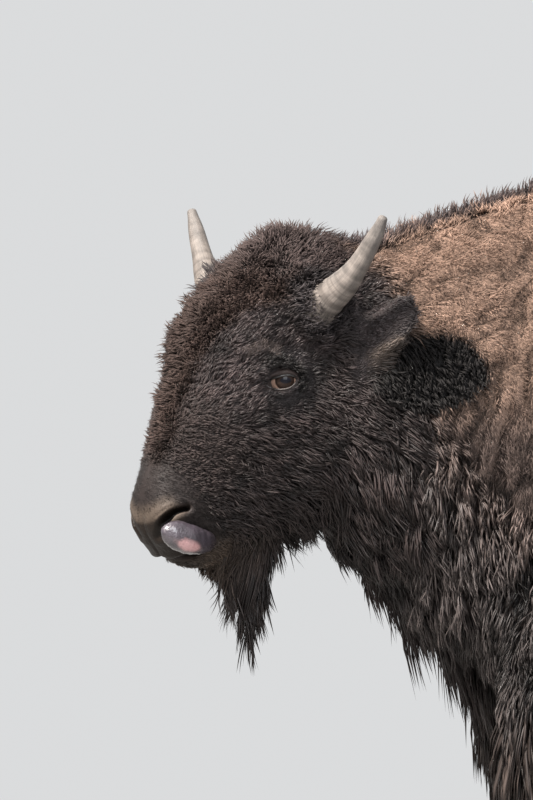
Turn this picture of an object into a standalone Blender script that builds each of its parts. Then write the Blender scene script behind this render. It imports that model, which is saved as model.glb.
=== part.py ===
"""A young American bison bull, standing with its head low and turned a little to its left.

Every solid shows the animal out to the tips of its coat.  The flesh is modelled as overlapping
lofts and muscle masses, fused by a voxel remesh, thinned, and parted into named pieces by thin
cuts.  Horns, eyes, ears, tongue, beard, tail and hooves are solids of their own, seated in
sockets that are a hair's breadth wider than they are.

Row frame: metres, +Z up, the animal faces -Y and its left side is +X.
"""

from math import cos, pi, radians, sin

import bmesh
import bpy
import numpy as np
from mathutils import Matrix, Vector

# ---------------------------------------------------------------- driving dimensions
HUMP_HEIGHT = 1.300  # ground to the top of the hump's coat
HEAD_PITCH = radians(43.0)  # nose below the horizon
HEAD_TURN = radians(23.0)  # towards the animal's left
HEAD_ROLL = radians(3.0)  # the left side a little lower
HEAD_AT = Vector((0.080, -0.782, 1.020))  # between the eyes and a little behind them
EYE_AT = (0.003, 0.070, 0.003)  # the left eyeball's centre in the head's frame
EYE_RADIUS = 0.0205
LID_OPENING = (0.0200, 0.0200, 0.0098)  # radii along the face, across it and upwards
LID_AHEAD = 0.003  # how far the opening's middle lies ahead of the eyeball's
GAP = 0.0004  # between touching solids
SHARP_FROM = radians(40.0)
LEAST_EDGE = 0.00002  # shorter edges are merged away
MOUTH_GAP = 0.0012
VOXEL = 0.009
SMOOTH_ROUNDS = 7
FLESH_FACES = 3500  # the fused flesh, before it is parted
HEAD_THINNING, LEG_THINNING, BODY_THINNING = 0.30, 0.30, 1.0
LEG_BELOW = 0.640  # flesh under this height is thinned as legs
HEAD_BACK = -0.160  # flesh ahead of this, along the nose, is thinned as the head

TRUNK_RINGS, HEAD_RINGS, BODY_POINTS = 60, 44, 48
LEG_RINGS, LEG_POINTS = 48, 24
EAR_SQUARENESS = 1.8

SIDES = {"left": 1.0, "right": -1.0}

COAT_DARK = (0.035, 0.027, 0.024, 1.0)
COAT_BROWN = (0.120, 0.075, 0.050, 1.0)
COAT_LEG = (0.040, 0.028, 0.022, 1.0)
HORN_GREY = (0.250, 0.230, 0.210, 1.0)
HOOF_BLACK = (0.045, 0.040, 0.038, 1.0)
EYE_BROWN = (0.030, 0.016, 0.010, 1.0)
TONGUE_GREY = (0.300, 0.210, 0.240, 1.0)

# ---------------------------------------------------------------- the head's own frame
FORWARD = Vector((cos(HEAD_PITCH) * sin(HEAD_TURN), -cos(HEAD_PITCH) * cos(HEAD_TURN), -sin(HEAD_PITCH)))
LEVEL = Vector((cos(HEAD_TURN), sin(HEAD_TURN), 0.0))
LEFT = LEVEL * cos(HEAD_ROLL) - FORWARD.cross(LEVEL) * sin(HEAD_ROLL)
CROWN = FORWARD.cross(LEFT)


def head_point(along, side, above):
    """A point given in the head's frame: along the nose, towards the left, above the eyes."""
    return HEAD_AT + FORWARD * along + LEFT * side + CROWN * above


# ---------------------------------------------------------------- body tables
# station: y, x of the middle, top, bottom, half width, squareness above, squareness below
TRUNK = (
    (-0.745, 0.064, 1.120, 0.900, 0.075, 2.0, 2.0),
    (-0.700, 0.052, 1.170, 0.845, 0.104, 2.0, 1.9),
    (-0.650, 0.036, 1.202, 0.778, 0.124, 2.0, 1.8),
    (-0.585, 0.020, 1.224, 0.712, 0.152, 1.9, 1.8),
    (-0.500, 0.006, 1.252, 0.644, 0.188, 1.8, 1.9),
    (-0.400, 0.000, 1.282, 0.608, 0.218, 1.7, 2.1),
    (-0.280, 0.000, HUMP_HEIGHT, 0.600, 0.236, 1.65, 2.3),
    (-0.120, 0.000, 1.270, 0.590, 0.246, 1.7, 2.4),
    (0.050, 0.000, 1.190, 0.586, 0.252, 1.9, 2.4),
    (0.200, 0.000, 1.118, 0.612, 0.242, 2.1, 2.3),
    (0.350, 0.000, 1.080, 0.660, 0.222, 2.2, 2.2),
    (0.480, 0.000, 1.074, 0.715, 0.208, 2.2, 2.0),
    (0.590, 0.000, 1.046, 0.760, 0.184, 2.1, 2.0),
    (0.670, 0.000, 0.990, 0.800, 0.140, 2.0, 2.0),
    (0.718, 0.000, 0.930, 0.860, 0.062, 2.0, 2.0),
)
# station: along the nose, top, bottom, half width, squareness above, squareness below
HEAD = (
    (-0.225, 0.060, -0.060, 0.050, 2.0, 2.0),
    (-0.195, 0.100, -0.110, 0.080, 2.0, 2.0),
    (-0.150, 0.122, -0.155, 0.096, 2.0, 2.0),
    (-0.100, 0.126, -0.185, 0.102, 2.1, 2.0),
    (-0.050, 0.124, -0.200, 0.102, 2.2, 2.0),
    (0.000, 0.112, -0.202, 0.094, 2.3, 2.1),
    (0.050, 0.103, -0.192, 0.087, 2.3, 2.2),
    (0.110, 0.079, -0.172, 0.078, 2.3, 2.3),
    (0.170, 0.044, -0.152, 0.062, 2.3, 2.3),
    (0.215, 0.022, -0.138, 0.051, 2.3, 2.3),
    (0.242, 0.000, -0.120, 0.044, 2.3, 2.3),
    (0.258, -0.028, -0.096, 0.034, 2.2, 2.2),
)
# masses in the head's frame: centre, radii along, across, above; mirrored where the side is not 0
HEAD_MASSES = (
    ((0.008, 0.062, 0.010), (0.042, 0.028, 0.030)),  # orbit
    ((0.020, 0.048, -0.100), (0.100, 0.050, 0.085)),  # cheek
    ((-0.094, 0.084, 0.052), (0.042, 0.038, 0.037)),  # horn pedicle
    ((0.220, 0.030, -0.030), (0.034, 0.026, 0.028)),  # nostril wing
    ((0.202, 0.026, -0.074), (0.050, 0.034, 0.028)),  # upper lip
    ((-0.030, 0.000, 0.076), (0.115, 0.090, 0.054)),  # forehead wool
    ((-0.125, 0.000, 0.072), (0.080, 0.094, 0.060)),  # crown wool
)
# masses in the row frame, each mirrored
BODY_MASSES = (
    ((0.130, -0.370, 0.840), (0.105, 0.150, 0.270)),  # shoulder
    ((0.120, 0.480, 0.860), (0.110, 0.170, 0.215)),  # haunch
)
# leg paths: x, y, z, radius across, radius fore and aft
FORELEG = (
    (0.130, -0.385, 0.800, 0.085, 0.110),
    (0.146, -0.375, 0.680, 0.090, 0.112),
    (0.146, -0.378, 0.580, 0.080, 0.098),
    (0.142, -0.388, 0.480, 0.064, 0.080),
    (0.138, -0.396, 0.400, 0.050, 0.056),
    (0.136, -0.402, 0.345, 0.043, 0.047),
    (0.135, -0.400, 0.280, 0.033, 0.036),
    (0.134, -0.398, 0.200, 0.030, 0.033),
    (0.134, -0.400, 0.135, 0.037, 0.042),
    (0.134, -0.416, 0.090, 0.033, 0.036),
    (0.134, -0.430, 0.060, 0.038, 0.042),
    (0.134, -0.442, 0.030, 0.038, 0.042),
)
HINDLEG = (
    (0.110, 0.450, 0.860, 0.085, 0.150),
    (0.128, 0.430, 0.740, 0.088, 0.140),
    (0.132, 0.440, 0.640, 0.074, 0.110),
    (0.130, 0.478, 0.545, 0.056, 0.078),
    (0.127, 0.530, 0.465, 0.042, 0.056),
    (0.125, 0.562, 0.405, 0.036, 0.048),
    (0.125, 0.560, 0.335, 0.031, 0.039),
    (0.125, 0.544, 0.250, 0.028, 0.033),
    (0.126, 0.528, 0.180, 0.029, 0.034),
    (0.126, 0.516, 0.130, 0.035, 0.041),
    (0.127, 0.498, 0.090, 0.032, 0.035),
    (0.127, 0.486, 0.060, 0.037, 0.041),
    (0.127, 0.474, 0.030, 0.037, 0.041),
)
# how far each foot is set back from its table, and how high up the leg it still swings
STEP_BACK = {
    ("foreleg", "left"): 0.0,
    ("foreleg", "right"): 0.055,
    ("hindleg", "left"): 0.0,
    ("hindleg", "right"): -0.045,
}
STEP_TOP, STEP_SPAN = 0.950, 0.450
HOOF_TOP = 0.0565
HOOF_LENGTH, HOOF_WIDTH = 0.104, 0.088
HOOF_LEAN = 0.016  # how far the coronet's middle lies behind the sole's
HOOF_AHEAD = 0.010  # how far the sole's middle stands in front of its leg's last point
CLEFT_WIDTH = 0.008
CLEFT_DEPTH = 0.62  # share of the hoof's length
CLEFT_HEIGHT = 0.86  # share of the hoof's height
CLEFT_END = 0.001  # the cleft's width where it ends
CLEFT_AHEAD = 0.020  # how far the cleft's cutter starts in front of the toes
HOOF_RINGS, HOOF_POINTS = 3, 24
UNDER_FLOOR = 0.010  # how far the cleft's cutter reaches below the sole
HOOF_SHORTER, HOOF_NARROWER = 0.26, 0.17  # shares lost from the sole to the coronet
HOOF_SQUARE_SIDES, HOOF_SQUARE_ENDS = 2.5, 1.75


# horn, in the head's frame: along, side, above and two radii; blunt at the tip
HORN = (
    (-0.072, 0.072, 0.034, 0.025, 0.025),
    (-0.084, 0.096, 0.046, 0.0255, 0.0255),
    (-0.097, 0.120, 0.057, 0.0225, 0.0225),
    (-0.116, 0.145, 0.068, 0.0175, 0.0175),
    (-0.141, 0.168, 0.085, 0.0130, 0.0130),
    (-0.169, 0.190, 0.107, 0.0080, 0.0080),
    (-0.183, 0.200, 0.120, 0.0030, 0.0030),
)
# ear: along, side, above, half width and half thickness
EAR = (
    (-0.084, 0.074, -0.036, 0.022, 0.012),
    (-0.104, 0.100, -0.031, 0.033, 0.014),
    (-0.124, 0.127, -0.024, 0.041, 0.013),
    (-0.140, 0.152, -0.021, 0.040, 0.011),
    (-0.153, 0.172, -0.020, 0.030, 0.008),
    (-0.159, 0.182, -0.020, 0.010, 0.003),
)
# tongue: along, side, above, half width and half thickness
TONGUE = (
    (0.150, 0.008, -0.116, 0.015, 0.008),
    (0.188, 0.022, -0.106, 0.018, 0.010),
    (0.214, 0.041, -0.087, 0.020, 0.012),
    (0.236, 0.055, -0.058, 0.021, 0.013),
    (0.250, 0.056, -0.034, 0.017, 0.010),
    (0.256, 0.050, -0.019, 0.007, 0.005),
)
# beard and tail, in the row frame: x, y, z, half width and half depth
BEARD = (
    (0.066, -0.768, 0.812, 0.026, 0.030),
    (0.069, -0.770, 0.778, 0.034, 0.046),
    (0.072, -0.774, 0.738, 0.033, 0.045),
    (0.074, -0.785, 0.692, 0.023, 0.030),
    (0.076, -0.797, 0.650, 0.008, 0.010),
)
TAIL = (
    (0.000, 0.690, 1.000, 0.022, 0.020),
    (0.000, 0.728, 0.970, 0.021, 0.019),
    (0.000, 0.752, 0.900, 0.018, 0.017),
    (0.000, 0.760, 0.800, 0.015, 0.015),
    (0.000, 0.762, 0.710, 0.018, 0.018),
    (0.000, 0.764, 0.640, 0.026, 0.026),
    (0.000, 0.766, 0.575, 0.020, 0.020),
    (0.000, 0.768, 0.525, 0.004, 0.004),
)
LEG_PATHS = {"foreleg": FORELEG, "hindleg": HINDLEG}
WORLD = (Vector((1, 0, 0)), Vector((0, 1, 0)), Vector((0, 0, 1)))
HEAD_AXES = (FORWARD, LEFT, CROWN)
EAR_WIDE = (CROWN * 0.44 - FORWARD * 0.90).normalized()
TONGUE_WIDE = (FORWARD * 0.9 - CROWN * 0.45).normalized()
# where the flesh is parted: outlines run anticlockwise
CELL_REACH = 0.40
HEAD_CELL = [(-0.190, 0.300), (-0.165, -0.090), (-0.050, -0.235), (0.450, -0.235), (0.450, 0.300)]
JAW_CELL = [(0.132, -0.210), (0.480, -0.210), (0.480, 0.030), (0.205, -0.100), (0.118, -0.136)]
NECK_BACK_LOW, NECK_BACK_HIGH = -0.560, -0.470  # the neck's back, at its cell's floor and top
NECK_CELL_FRONT, NECK_CELL_FLOOR, NECK_CELL_TOP, NECK_CELL_REACH = -1.2, -0.2, 1.5, 1.0
CELL_SHARE = 0.8  # how much of its leg's step a leg's cell takes
LEG_CELLS = {
    "foreleg": ([(0.045, -0.1), (0.400, -0.1), (0.400, 0.840), (0.045, 0.615)], (-0.530, -0.245)),
    "hindleg": ([(0.040, -0.1), (0.400, -0.1), (0.400, 0.960), (0.040, 0.705)], (0.290, 0.800)),
}


# ---------------------------------------------------------------- Blender helpers
def clear_scene():
    for thing in list(bpy.data.objects):
        bpy.data.objects.remove(thing)


def material(name, colour, roughness):
    found = bpy.data.materials.get(name) or bpy.data.materials.new(name)
    found.use_nodes = True
    shader = found.node_tree.nodes["Principled BSDF"]
    shader.inputs["Base Color"].default_value = colour
    shader.inputs["Roughness"].default_value = roughness
    shader.inputs["Metallic"].default_value = 0.0
    return found


def new_object(name, mesh):
    made = bpy.data.objects.new(name, mesh)
    bpy.context.scene.collection.objects.link(made)
    return made


def object_from_bmesh(name, shape):
    bmesh.ops.recalc_face_normals(shape, faces=shape.faces)
    mesh = bpy.data.meshes.new(name)
    shape.to_mesh(mesh)
    shape.free()
    return new_object(name, mesh)


def applied(thing):
    """Replaces the object's mesh by what its modifiers make of it."""
    bpy.context.view_layer.update()
    graph = bpy.context.evaluated_depsgraph_get()
    made = bpy.data.meshes.new_from_object(thing.evaluated_get(graph))
    thing.modifiers.clear()
    thing.data = made
    return thing


def carve(thing, cutter, operation="DIFFERENCE"):
    step = thing.modifiers.new("carve", "BOOLEAN")
    step.operation = operation
    step.solver = "EXACT"
    step.object = cutter
    return applied(thing)


def copy_of(thing, name):
    return new_object(name, thing.data.copy())


def drop(*things):
    for thing in things:
        bpy.data.objects.remove(thing)


# ---------------------------------------------------------------- shapes
def curve_through(rows, count):
    """Rows resampled to count rows on one smooth curve (Catmull-Rom) through them all."""
    rows = np.array(rows, float)
    padded = np.vstack([2 * rows[0] - rows[1], rows, 2 * rows[-1] - rows[-2]])
    made = []
    for place in np.linspace(0, len(rows) - 1, count):
        step = min(int(place), len(rows) - 2)
        t = place - step
        a, b, c, d = padded[step : step + 4]
        bend = 2 * a - 5 * b + 4 * c - d
        twist = 3 * b - a - 3 * c + d
        made.append(0.5 * (2 * b + (c - a) * t + bend * t**2 + twist * t**3))
    return np.array(made)


def bowed(value, squareness):
    return abs(value) ** (2.0 / squareness) * (1 if value >= 0 else -1)


def oval(middle, across, upward, half_width, above, below, square_above, square_below, points):
    """A ring: half_width to each side, above and below the middle, more or less square."""
    ring = []
    for step in range(points):
        angle = 2 * pi * step / points
        squareness, height = (square_above, above) if sin(angle) >= 0 else (square_below, below)
        ring.append(
            middle
            + across * (half_width * bowed(cos(angle), squareness))
            + upward * (height * bowed(sin(angle), squareness))
        )
    return ring


def loft(name, rings):
    """A closed skin over rings of equally many points, with a flat cap at each end."""
    shape = bmesh.new()
    rows = [[shape.verts.new(point) for point in ring] for ring in rings]
    count = len(rows[0])
    for first, second in zip(rows, rows[1:]):
        for step in range(count):
            after = (step + 1) % count
            shape.faces.new((first[step], first[after], second[after]))
            shape.faces.new((first[step], second[after], second[step]))
    shape.faces.new(rows[0][::-1])
    shape.faces.new(rows[-1])
    return object_from_bmesh(name, shape)


def ball(name, centre, axes, radii, subdivisions=4):
    """An ellipsoid whose three radii lie along the given axes."""
    shape = bmesh.new()
    bmesh.ops.create_icosphere(shape, subdivisions=subdivisions, radius=1.0)
    turn = Matrix([[axis[row] * radius for axis, radius in zip(axes, radii)] for row in range(3)]).to_4x4()
    bmesh.ops.transform(shape, matrix=Matrix.Translation(centre) @ turn, verts=shape.verts)
    return object_from_bmesh(name, shape)


def swept(name, path, across, grow=0.0, points=20, stations=24, squareness=2.0):
    """A limb: path rows hold a place, the radius along `across` and the radius at right angles to it."""
    rows = curve_through(path, stations)
    rings = []
    for step, row in enumerate(rows):
        before, after = rows[max(step - 1, 0), :3], rows[min(step + 1, len(rows) - 1), :3]
        heading = Vector(after - before).normalized()
        side = (across - heading * across.dot(heading)).normalized()
        other = heading.cross(side)
        wide, deep = row[3] + grow, row[4] + grow
        end = (step == len(rows) - 1) - (step == 0)
        middle = Vector(row[:3]) + heading * grow * end
        rings.append(oval(middle, side, other, wide, deep, deep, squareness, squareness, points))
    return loft(name, rings)


def prism(name, outline, origin, first, second, depth, low, high):
    """A block: an outline in the plane of two axes, drawn out along a third from low to high."""
    near = [origin + first * a + second * b + depth * low for a, b in outline]
    far = [origin + first * a + second * b + depth * high for a, b in outline]
    return loft(name, [near, far])


# ---------------------------------------------------------------- the fused flesh
def trunk_masses():
    rings = [
        oval(
            Vector((x, y, (top + bottom) / 2)),
            WORLD[0],
            WORLD[2],
            wide,
            (top - bottom) / 2,
            (top - bottom) / 2,
            square_above,
            square_below,
            BODY_POINTS,
        )
        for y, x, top, bottom, wide, square_above, square_below in curve_through(TRUNK, TRUNK_RINGS)
    ]
    yield loft("trunk_loft", rings)
    for (x, y, z), radii in BODY_MASSES:
        for way in SIDES.values():
            yield ball("muscle", Vector((x * way, y, z)), WORLD, radii)


def head_masses():
    rings = [
        oval(
            head_point(along, 0, (top + bottom) / 2),
            LEFT,
            CROWN,
            wide,
            (top - bottom) / 2,
            (top - bottom) / 2,
            square_above,
            square_below,
            BODY_POINTS,
        )
        for along, top, bottom, wide, square_above, square_below in curve_through(HEAD, HEAD_RINGS)
    ]
    yield loft("head_loft", rings)
    for (along, side, above), radii in HEAD_MASSES:
        for way in SIDES.values() if side else (1.0,):
            yield ball("head_mass", head_point(along, side * way, above), HEAD_AXES, radii)


def leg_path(leg, word):
    """One leg's path on its own side, swung by its step."""
    way, back = SIDES[word], STEP_BACK[leg, word]
    swing = [(row, min(1.0, (STEP_TOP - row[2]) / STEP_SPAN)) for row in LEG_PATHS[leg]]
    return [(x * way, y + back * share, z, *radii) for (x, y, z, *radii), share in swing]


def leg_masses():
    for leg, word in STEP_BACK:
        yield swept("leg", leg_path(leg, word), WORLD[0], points=LEG_POINTS, stations=LEG_RINGS)


def thinning_at(point):
    """How readily the flesh is thinned at a point: little on the head and the legs."""
    if (point - HEAD_AT).dot(FORWARD) > HEAD_BACK and point.z > LEG_BELOW:
        return HEAD_THINNING
    return LEG_THINNING if point.z < LEG_BELOW else BODY_THINNING


def fused_flesh():
    """All flesh as one closed, smoothed and thinned surface."""
    masses = [*trunk_masses(), *head_masses(), *leg_masses()]
    shape = bmesh.new()
    for mass in masses:
        shape.from_mesh(mass.data)
    drop(*masses)
    flesh = object_from_bmesh("flesh", shape)
    remesh = flesh.modifiers.new("fuse", "REMESH")
    remesh.mode = "VOXEL"
    remesh.voxel_size = VOXEL
    blur = flesh.modifiers.new("blur", "SMOOTH")
    blur.factor, blur.iterations = 0.5, SMOOTH_ROUNDS
    applied(flesh)
    thinned = flesh.vertex_groups.new(name="thinned")
    for vertex in flesh.data.vertices:
        thinned.add([vertex.index], thinning_at(vertex.co), "REPLACE")
    thin = flesh.modifiers.new("thin", "DECIMATE")
    thin.ratio = FLESH_FACES / (len(flesh.data.polygons) * 2)
    thin.vertex_group = thinned.name
    return applied(flesh)


# ---------------------------------------------------------------- parting the flesh
def inset(outline, by):
    """A convex outline, given anticlockwise, drawn in by a distance on every side."""
    edges = []
    for (ax, ay), (bx, by_) in zip(outline, outline[1:] + outline[:1]):
        length = ((bx - ax) ** 2 + (by_ - ay) ** 2) ** 0.5
        inward = (-(by_ - ay) / length, (bx - ax) / length)
        edges.append((inward, ax * inward[0] + ay * inward[1] + by))
    corners = []
    for (first, far), (second, near) in zip(edges[-1:] + edges[:-1], edges):
        across = first[0] * second[1] - first[1] * second[0]
        corners.append(
            ((far * second[1] - near * first[1]) / across, (first[0] * near - second[0] * far) / across)
        )
    return corners


def head_cell(outline, by=0.0):
    """A cell across the whole head, drawn in its along and above directions."""
    return prism("cell", inset(outline, by), HEAD_AT, FORWARD, CROWN, LEFT, -CELL_REACH, CELL_REACH)


def neck_cell(by=0.0):
    """A cell that holds everything ahead of the shoulders."""
    outline = [
        (NECK_CELL_FRONT, NECK_CELL_FLOOR),
        (NECK_BACK_LOW, NECK_CELL_FLOOR),
        (NECK_BACK_HIGH, NECK_CELL_TOP),
        (NECK_CELL_FRONT, NECK_CELL_TOP),
    ]
    across, back, up = WORLD
    return prism("cell", inset(outline, by), Vector(), back, up, across, -NECK_CELL_REACH, NECK_CELL_REACH)


def leg_cell(outline, span, way, by=0.0):
    """A cell for one leg: an outline across the body, drawn from front to back over a span."""
    across = Vector((way, 0, 0))
    low, high = span
    return prism("cell", inset(outline, by), Vector(), across, WORLD[2], WORLD[1], low + by, high - by)


def kept_inside(flesh, cell, name):
    piece = carve(copy_of(flesh, name), cell, "INTERSECT")
    drop(cell)
    return piece


def part_flesh(flesh):
    """The pieces of flesh by name, each a hair away from its neighbours."""
    pieces = {}
    rest = copy_of(flesh, "trunk")
    for word, way in SIDES.items():
        for leg, (outline, table_span) in LEG_CELLS.items():
            name = f"{leg}_{word}"
            span = [end + STEP_BACK[leg, word] * CELL_SHARE for end in table_span]
            ankle = [(x, max(z, HOOF_TOP)) for x, z in outline]
            pieces[name] = kept_inside(flesh, leg_cell(ankle, span, way, GAP), name)
            whole = leg_cell(outline, span, way)
            carve(rest, whole)
            drop(whole)
    fore = neck_cell(GAP)
    pieces["neck"] = carve(copy_of(rest, "neck"), fore, "INTERSECT")
    whole = neck_cell()
    carve(rest, whole)
    drop(fore, whole)
    whole = head_cell(HEAD_CELL)
    carve(pieces["neck"], whole)
    drop(whole)
    pieces["head"] = kept_inside(flesh, head_cell(HEAD_CELL, GAP), "head")
    pieces["lower_jaw"] = kept_inside(flesh, head_cell(JAW_CELL, MOUTH_GAP), "lower_jaw")
    whole = head_cell(JAW_CELL)
    carve(pieces["head"], whole)
    drop(whole)
    pieces["trunk"] = rest
    return pieces


# ---------------------------------------------------------------- horns, ears, eyes, tongue
def in_head(rows, way=1.0):
    """Path rows given in the head's frame, as rows of places in the row frame with their radii."""
    return [(*head_point(along, side * way, above), *radii) for along, side, above, *radii in rows]


def horn(name, way, grow=0.0):
    return swept(name, in_head(HORN, way), LEFT, grow, points=14, stations=10)


def ear(name, way, grow=0.0):
    return swept(name, in_head(EAR, way), EAR_WIDE, grow, points=12, stations=9, squareness=EAR_SQUARENESS)


def eyeball(name, way, grow=0.0):
    radius = EYE_RADIUS + grow
    along, side, above = EYE_AT
    return ball(name, head_point(along, side * way, above), HEAD_AXES, (radius,) * 3, subdivisions=3)


def lid_opening(way):
    along, side, above = EYE_AT
    centre = head_point(along + LID_AHEAD, (side + EYE_RADIUS) * way, above)
    return ball("lids", centre, HEAD_AXES, LID_OPENING, subdivisions=2)


def tongue(name, grow=0.0):
    return swept(name, in_head(TONGUE), TONGUE_WIDE, grow, points=12, stations=9)


def beard(name, grow=0.0):
    return swept(name, BEARD, LEFT, grow, points=14, stations=8)


def tail(name, grow=0.0):
    return swept(name, TAIL, WORLD[0], grow, points=10, stations=14)


def hoof(name, x, toe_y):
    """A cloven hoof: a flat sole, walls that lean back, and a cleft open to the front."""
    rings = []
    for share in np.linspace(0, 1, HOOF_RINGS):
        middle_y = toe_y + HOOF_LENGTH / 2 + HOOF_LEAN * share
        long = HOOF_LENGTH * (1 - HOOF_SHORTER * share) / 2
        wide = HOOF_WIDTH * (1 - HOOF_NARROWER * share) / 2
        middle = Vector((x, middle_y, HOOF_TOP * share))
        square = (HOOF_SQUARE_SIDES, HOOF_SQUARE_ENDS)
        rings.append(oval(middle, WORLD[0], WORLD[1], wide, long, long, *square, HOOF_POINTS))
    made = loft(name, rings)
    back = toe_y + HOOF_LENGTH * CLEFT_DEPTH
    front = toe_y - CLEFT_AHEAD
    wide, narrow = CLEFT_WIDTH / 2, CLEFT_END / 2
    outline = [(-wide, front), (wide, front), (narrow, back), (-narrow, back)]
    low, high = -UNDER_FLOOR, HOOF_TOP * CLEFT_HEIGHT
    cleft = prism("cleft", outline, Vector((x, 0, 0)), *WORLD, low, high)
    carve(made, cleft)
    drop(cleft)
    return made


def seat(host, *fittings):
    """Cuts the sockets that the grown copies of the fittings need, and removes those copies."""
    for fitting in fittings:
        carve(host, fitting)
    drop(*fittings)


def finish(thing, name, colour, roughness):
    """Merges what cutting left too close together, triangulates, names and colours a piece."""
    shape = bmesh.new()
    shape.from_mesh(thing.data)
    bmesh.ops.dissolve_degenerate(shape, dist=LEAST_EDGE, edges=shape.edges)
    bmesh.ops.triangulate(shape, faces=shape.faces)
    shape.to_mesh(thing.data)
    shape.free()
    thing.name = name
    thing.data.name = name
    thing.data.materials.clear()
    thing.data.materials.append(material(name, colour, roughness))
    thing.data.shade_smooth()
    thing.data.set_sharp_from_angle(angle=SHARP_FROM)


def centre_on_floor(pieces):
    """Moves all pieces together until their common box stands centred on the origin."""
    corners = np.array([piece.bound_box for piece in pieces]).reshape(-1, 3)
    middle = (corners.min(axis=0) + corners.max(axis=0)) / 2
    shift = Matrix.Translation((-middle[0], -middle[1], -corners[:, 2].min()))
    for piece in pieces:
        piece.data.transform(shift)


def main():
    clear_scene()
    flesh = fused_flesh()
    pieces = part_flesh(flesh)
    drop(flesh)
    looks = {name: (COAT_DARK, 0.9) for name in pieces}
    looks["trunk"] = looks["neck"] = (COAT_BROWN, 0.9)
    looks |= {name: (COAT_LEG, 0.85) for name in pieces if "leg" in name}
    for word, way in SIDES.items():
        seat(pieces["head"], horn("h", way, GAP), ear("e", way, GAP))
        seat(pieces["head"], eyeball("b", way, GAP), lid_opening(way))
        seat(pieces["neck"], ear("e", way, GAP))
        pieces[f"horn_{word}"] = horn("horn", way)
        pieces[f"ear_{word}"] = ear("ear", way)
        pieces[f"eye_{word}"] = eyeball("eye", way)
        looks[f"horn_{word}"] = (HORN_GREY, 0.5)
        looks[f"ear_{word}"] = (COAT_DARK, 0.9)
        looks[f"eye_{word}"] = (EYE_BROWN, 0.1)
        for leg in ("fore", "hind"):
            x, y = leg_path(f"{leg}leg", word)[-1][:2]
            pieces[f"hoof_{leg}_{word}"] = hoof("hoof", x, y - HOOF_LENGTH / 2 - HOOF_AHEAD)
            looks[f"hoof_{leg}_{word}"] = (HOOF_BLACK, 0.5)
    for host in ("head", "lower_jaw"):
        seat(pieces[host], tongue("t", GAP), beard("b", GAP))
    seat(pieces["trunk"], tail("t", GAP))
    pieces["tongue"] = tongue("tongue")
    pieces["beard"] = beard("beard")
    pieces["tail"] = tail("tail")
    looks["tongue"] = (TONGUE_GREY, 0.3)
    looks["beard"] = looks["tail"] = (COAT_DARK, 0.9)
    for name, piece in pieces.items():
        finish(piece, name, *looks[name])
    bpy.context.view_layer.update()
    centre_on_floor(list(pieces.values()))


main()
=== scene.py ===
"""A young American bison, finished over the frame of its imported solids.

One skin replaces the flesh, and solid tufts of hair replace the coat's depth.  The horns, eyes,
lids, tongue, hooves and dewclaws are pieces of their own.  Lengths are metres, +Z is up, the
animal faces -Y and its left side is +X.
"""

from __future__ import annotations

import logging
import math
from collections.abc import Callable, Iterator
from contextlib import contextmanager
from dataclasses import dataclass, field, fields
from enum import Enum

import bmesh
import bpy
import numpy as np
from mathutils import Matrix, Vector

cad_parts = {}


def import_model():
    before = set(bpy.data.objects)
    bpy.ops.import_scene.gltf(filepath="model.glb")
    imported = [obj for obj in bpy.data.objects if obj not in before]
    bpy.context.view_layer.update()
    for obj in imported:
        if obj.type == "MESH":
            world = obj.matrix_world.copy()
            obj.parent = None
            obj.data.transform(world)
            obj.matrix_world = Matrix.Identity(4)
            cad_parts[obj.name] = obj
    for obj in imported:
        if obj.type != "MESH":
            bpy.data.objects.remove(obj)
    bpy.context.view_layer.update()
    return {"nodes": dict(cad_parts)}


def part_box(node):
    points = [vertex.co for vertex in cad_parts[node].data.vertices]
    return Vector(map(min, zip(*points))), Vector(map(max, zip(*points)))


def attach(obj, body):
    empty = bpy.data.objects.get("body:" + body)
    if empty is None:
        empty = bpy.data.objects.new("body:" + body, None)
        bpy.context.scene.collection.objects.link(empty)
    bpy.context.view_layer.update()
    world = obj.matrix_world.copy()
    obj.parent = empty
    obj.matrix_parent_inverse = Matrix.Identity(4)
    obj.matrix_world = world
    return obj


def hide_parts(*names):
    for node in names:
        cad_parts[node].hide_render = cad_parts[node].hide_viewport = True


Array = np.ndarray
Piece = bpy.types.Object
Mesh = bpy.types.Mesh
Material = bpy.types.Material
Tree = bpy.types.NodeTree
Socket = bpy.types.NodeSocket
Outputs = bpy.types.NodeOutputs
Triple = tuple[float, float, float]

LOG = logging.getLogger("bison")
BODY = "root"
BAKE_MAP = "OFBake"
UP = np.array([0.0, 0.0, 1.0])
LEFTWARD = np.array([1.0, 0.0, 0.0])
LEFT_LOCAL = np.array([0.0, 1.0, 0.0])
SIDES = {"left": 1.0, "right": -1.0}
EARS = ("ear_left", "ear_right")
HOOVES = ("hoof_fore_left", "hoof_fore_right", "hoof_hind_left", "hoof_hind_right")
FLESH = (
    "head", "lower_jaw", "neck", "trunk", "foreleg_left", "foreleg_right", "hindleg_left", "hindleg_right"
)
WELD = 1e-5
HASH_STEPS = (374761393, 668265263, 362437, 974634777)
HASH_STIR = 1274126177


# ---------------------------------------------------------------- numbers
def unit(vectors: Array) -> Array:
    """Vectors scaled to length one."""
    return vectors / np.maximum(np.linalg.norm(vectors, axis=-1, keepdims=True), 1e-9)


def flattened(vectors: Array, normals: Array) -> Array:
    """Vectors without their part along the normals."""
    return vectors - normals * (vectors * normals).sum(axis=1, keepdims=True)


def clipped(values: Array) -> Array:
    """Values held between 0 and 1."""
    return np.clip(values, 0.0, 1.0)


def ramp(low: float, high: float, values: Array) -> Array:
    """A smooth step from 0 at low to 1 at high, or the other way round where low is larger."""
    share = clipped((values - low) / (high - low))
    return share * share * (3.0 - 2.0 * share)


def hill(values: Array, middle: float, width: float) -> Array:
    """A smooth hill: 1 at the middle, falling away over a width."""
    return np.exp(-(((values - middle) / width) ** 2))


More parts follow.
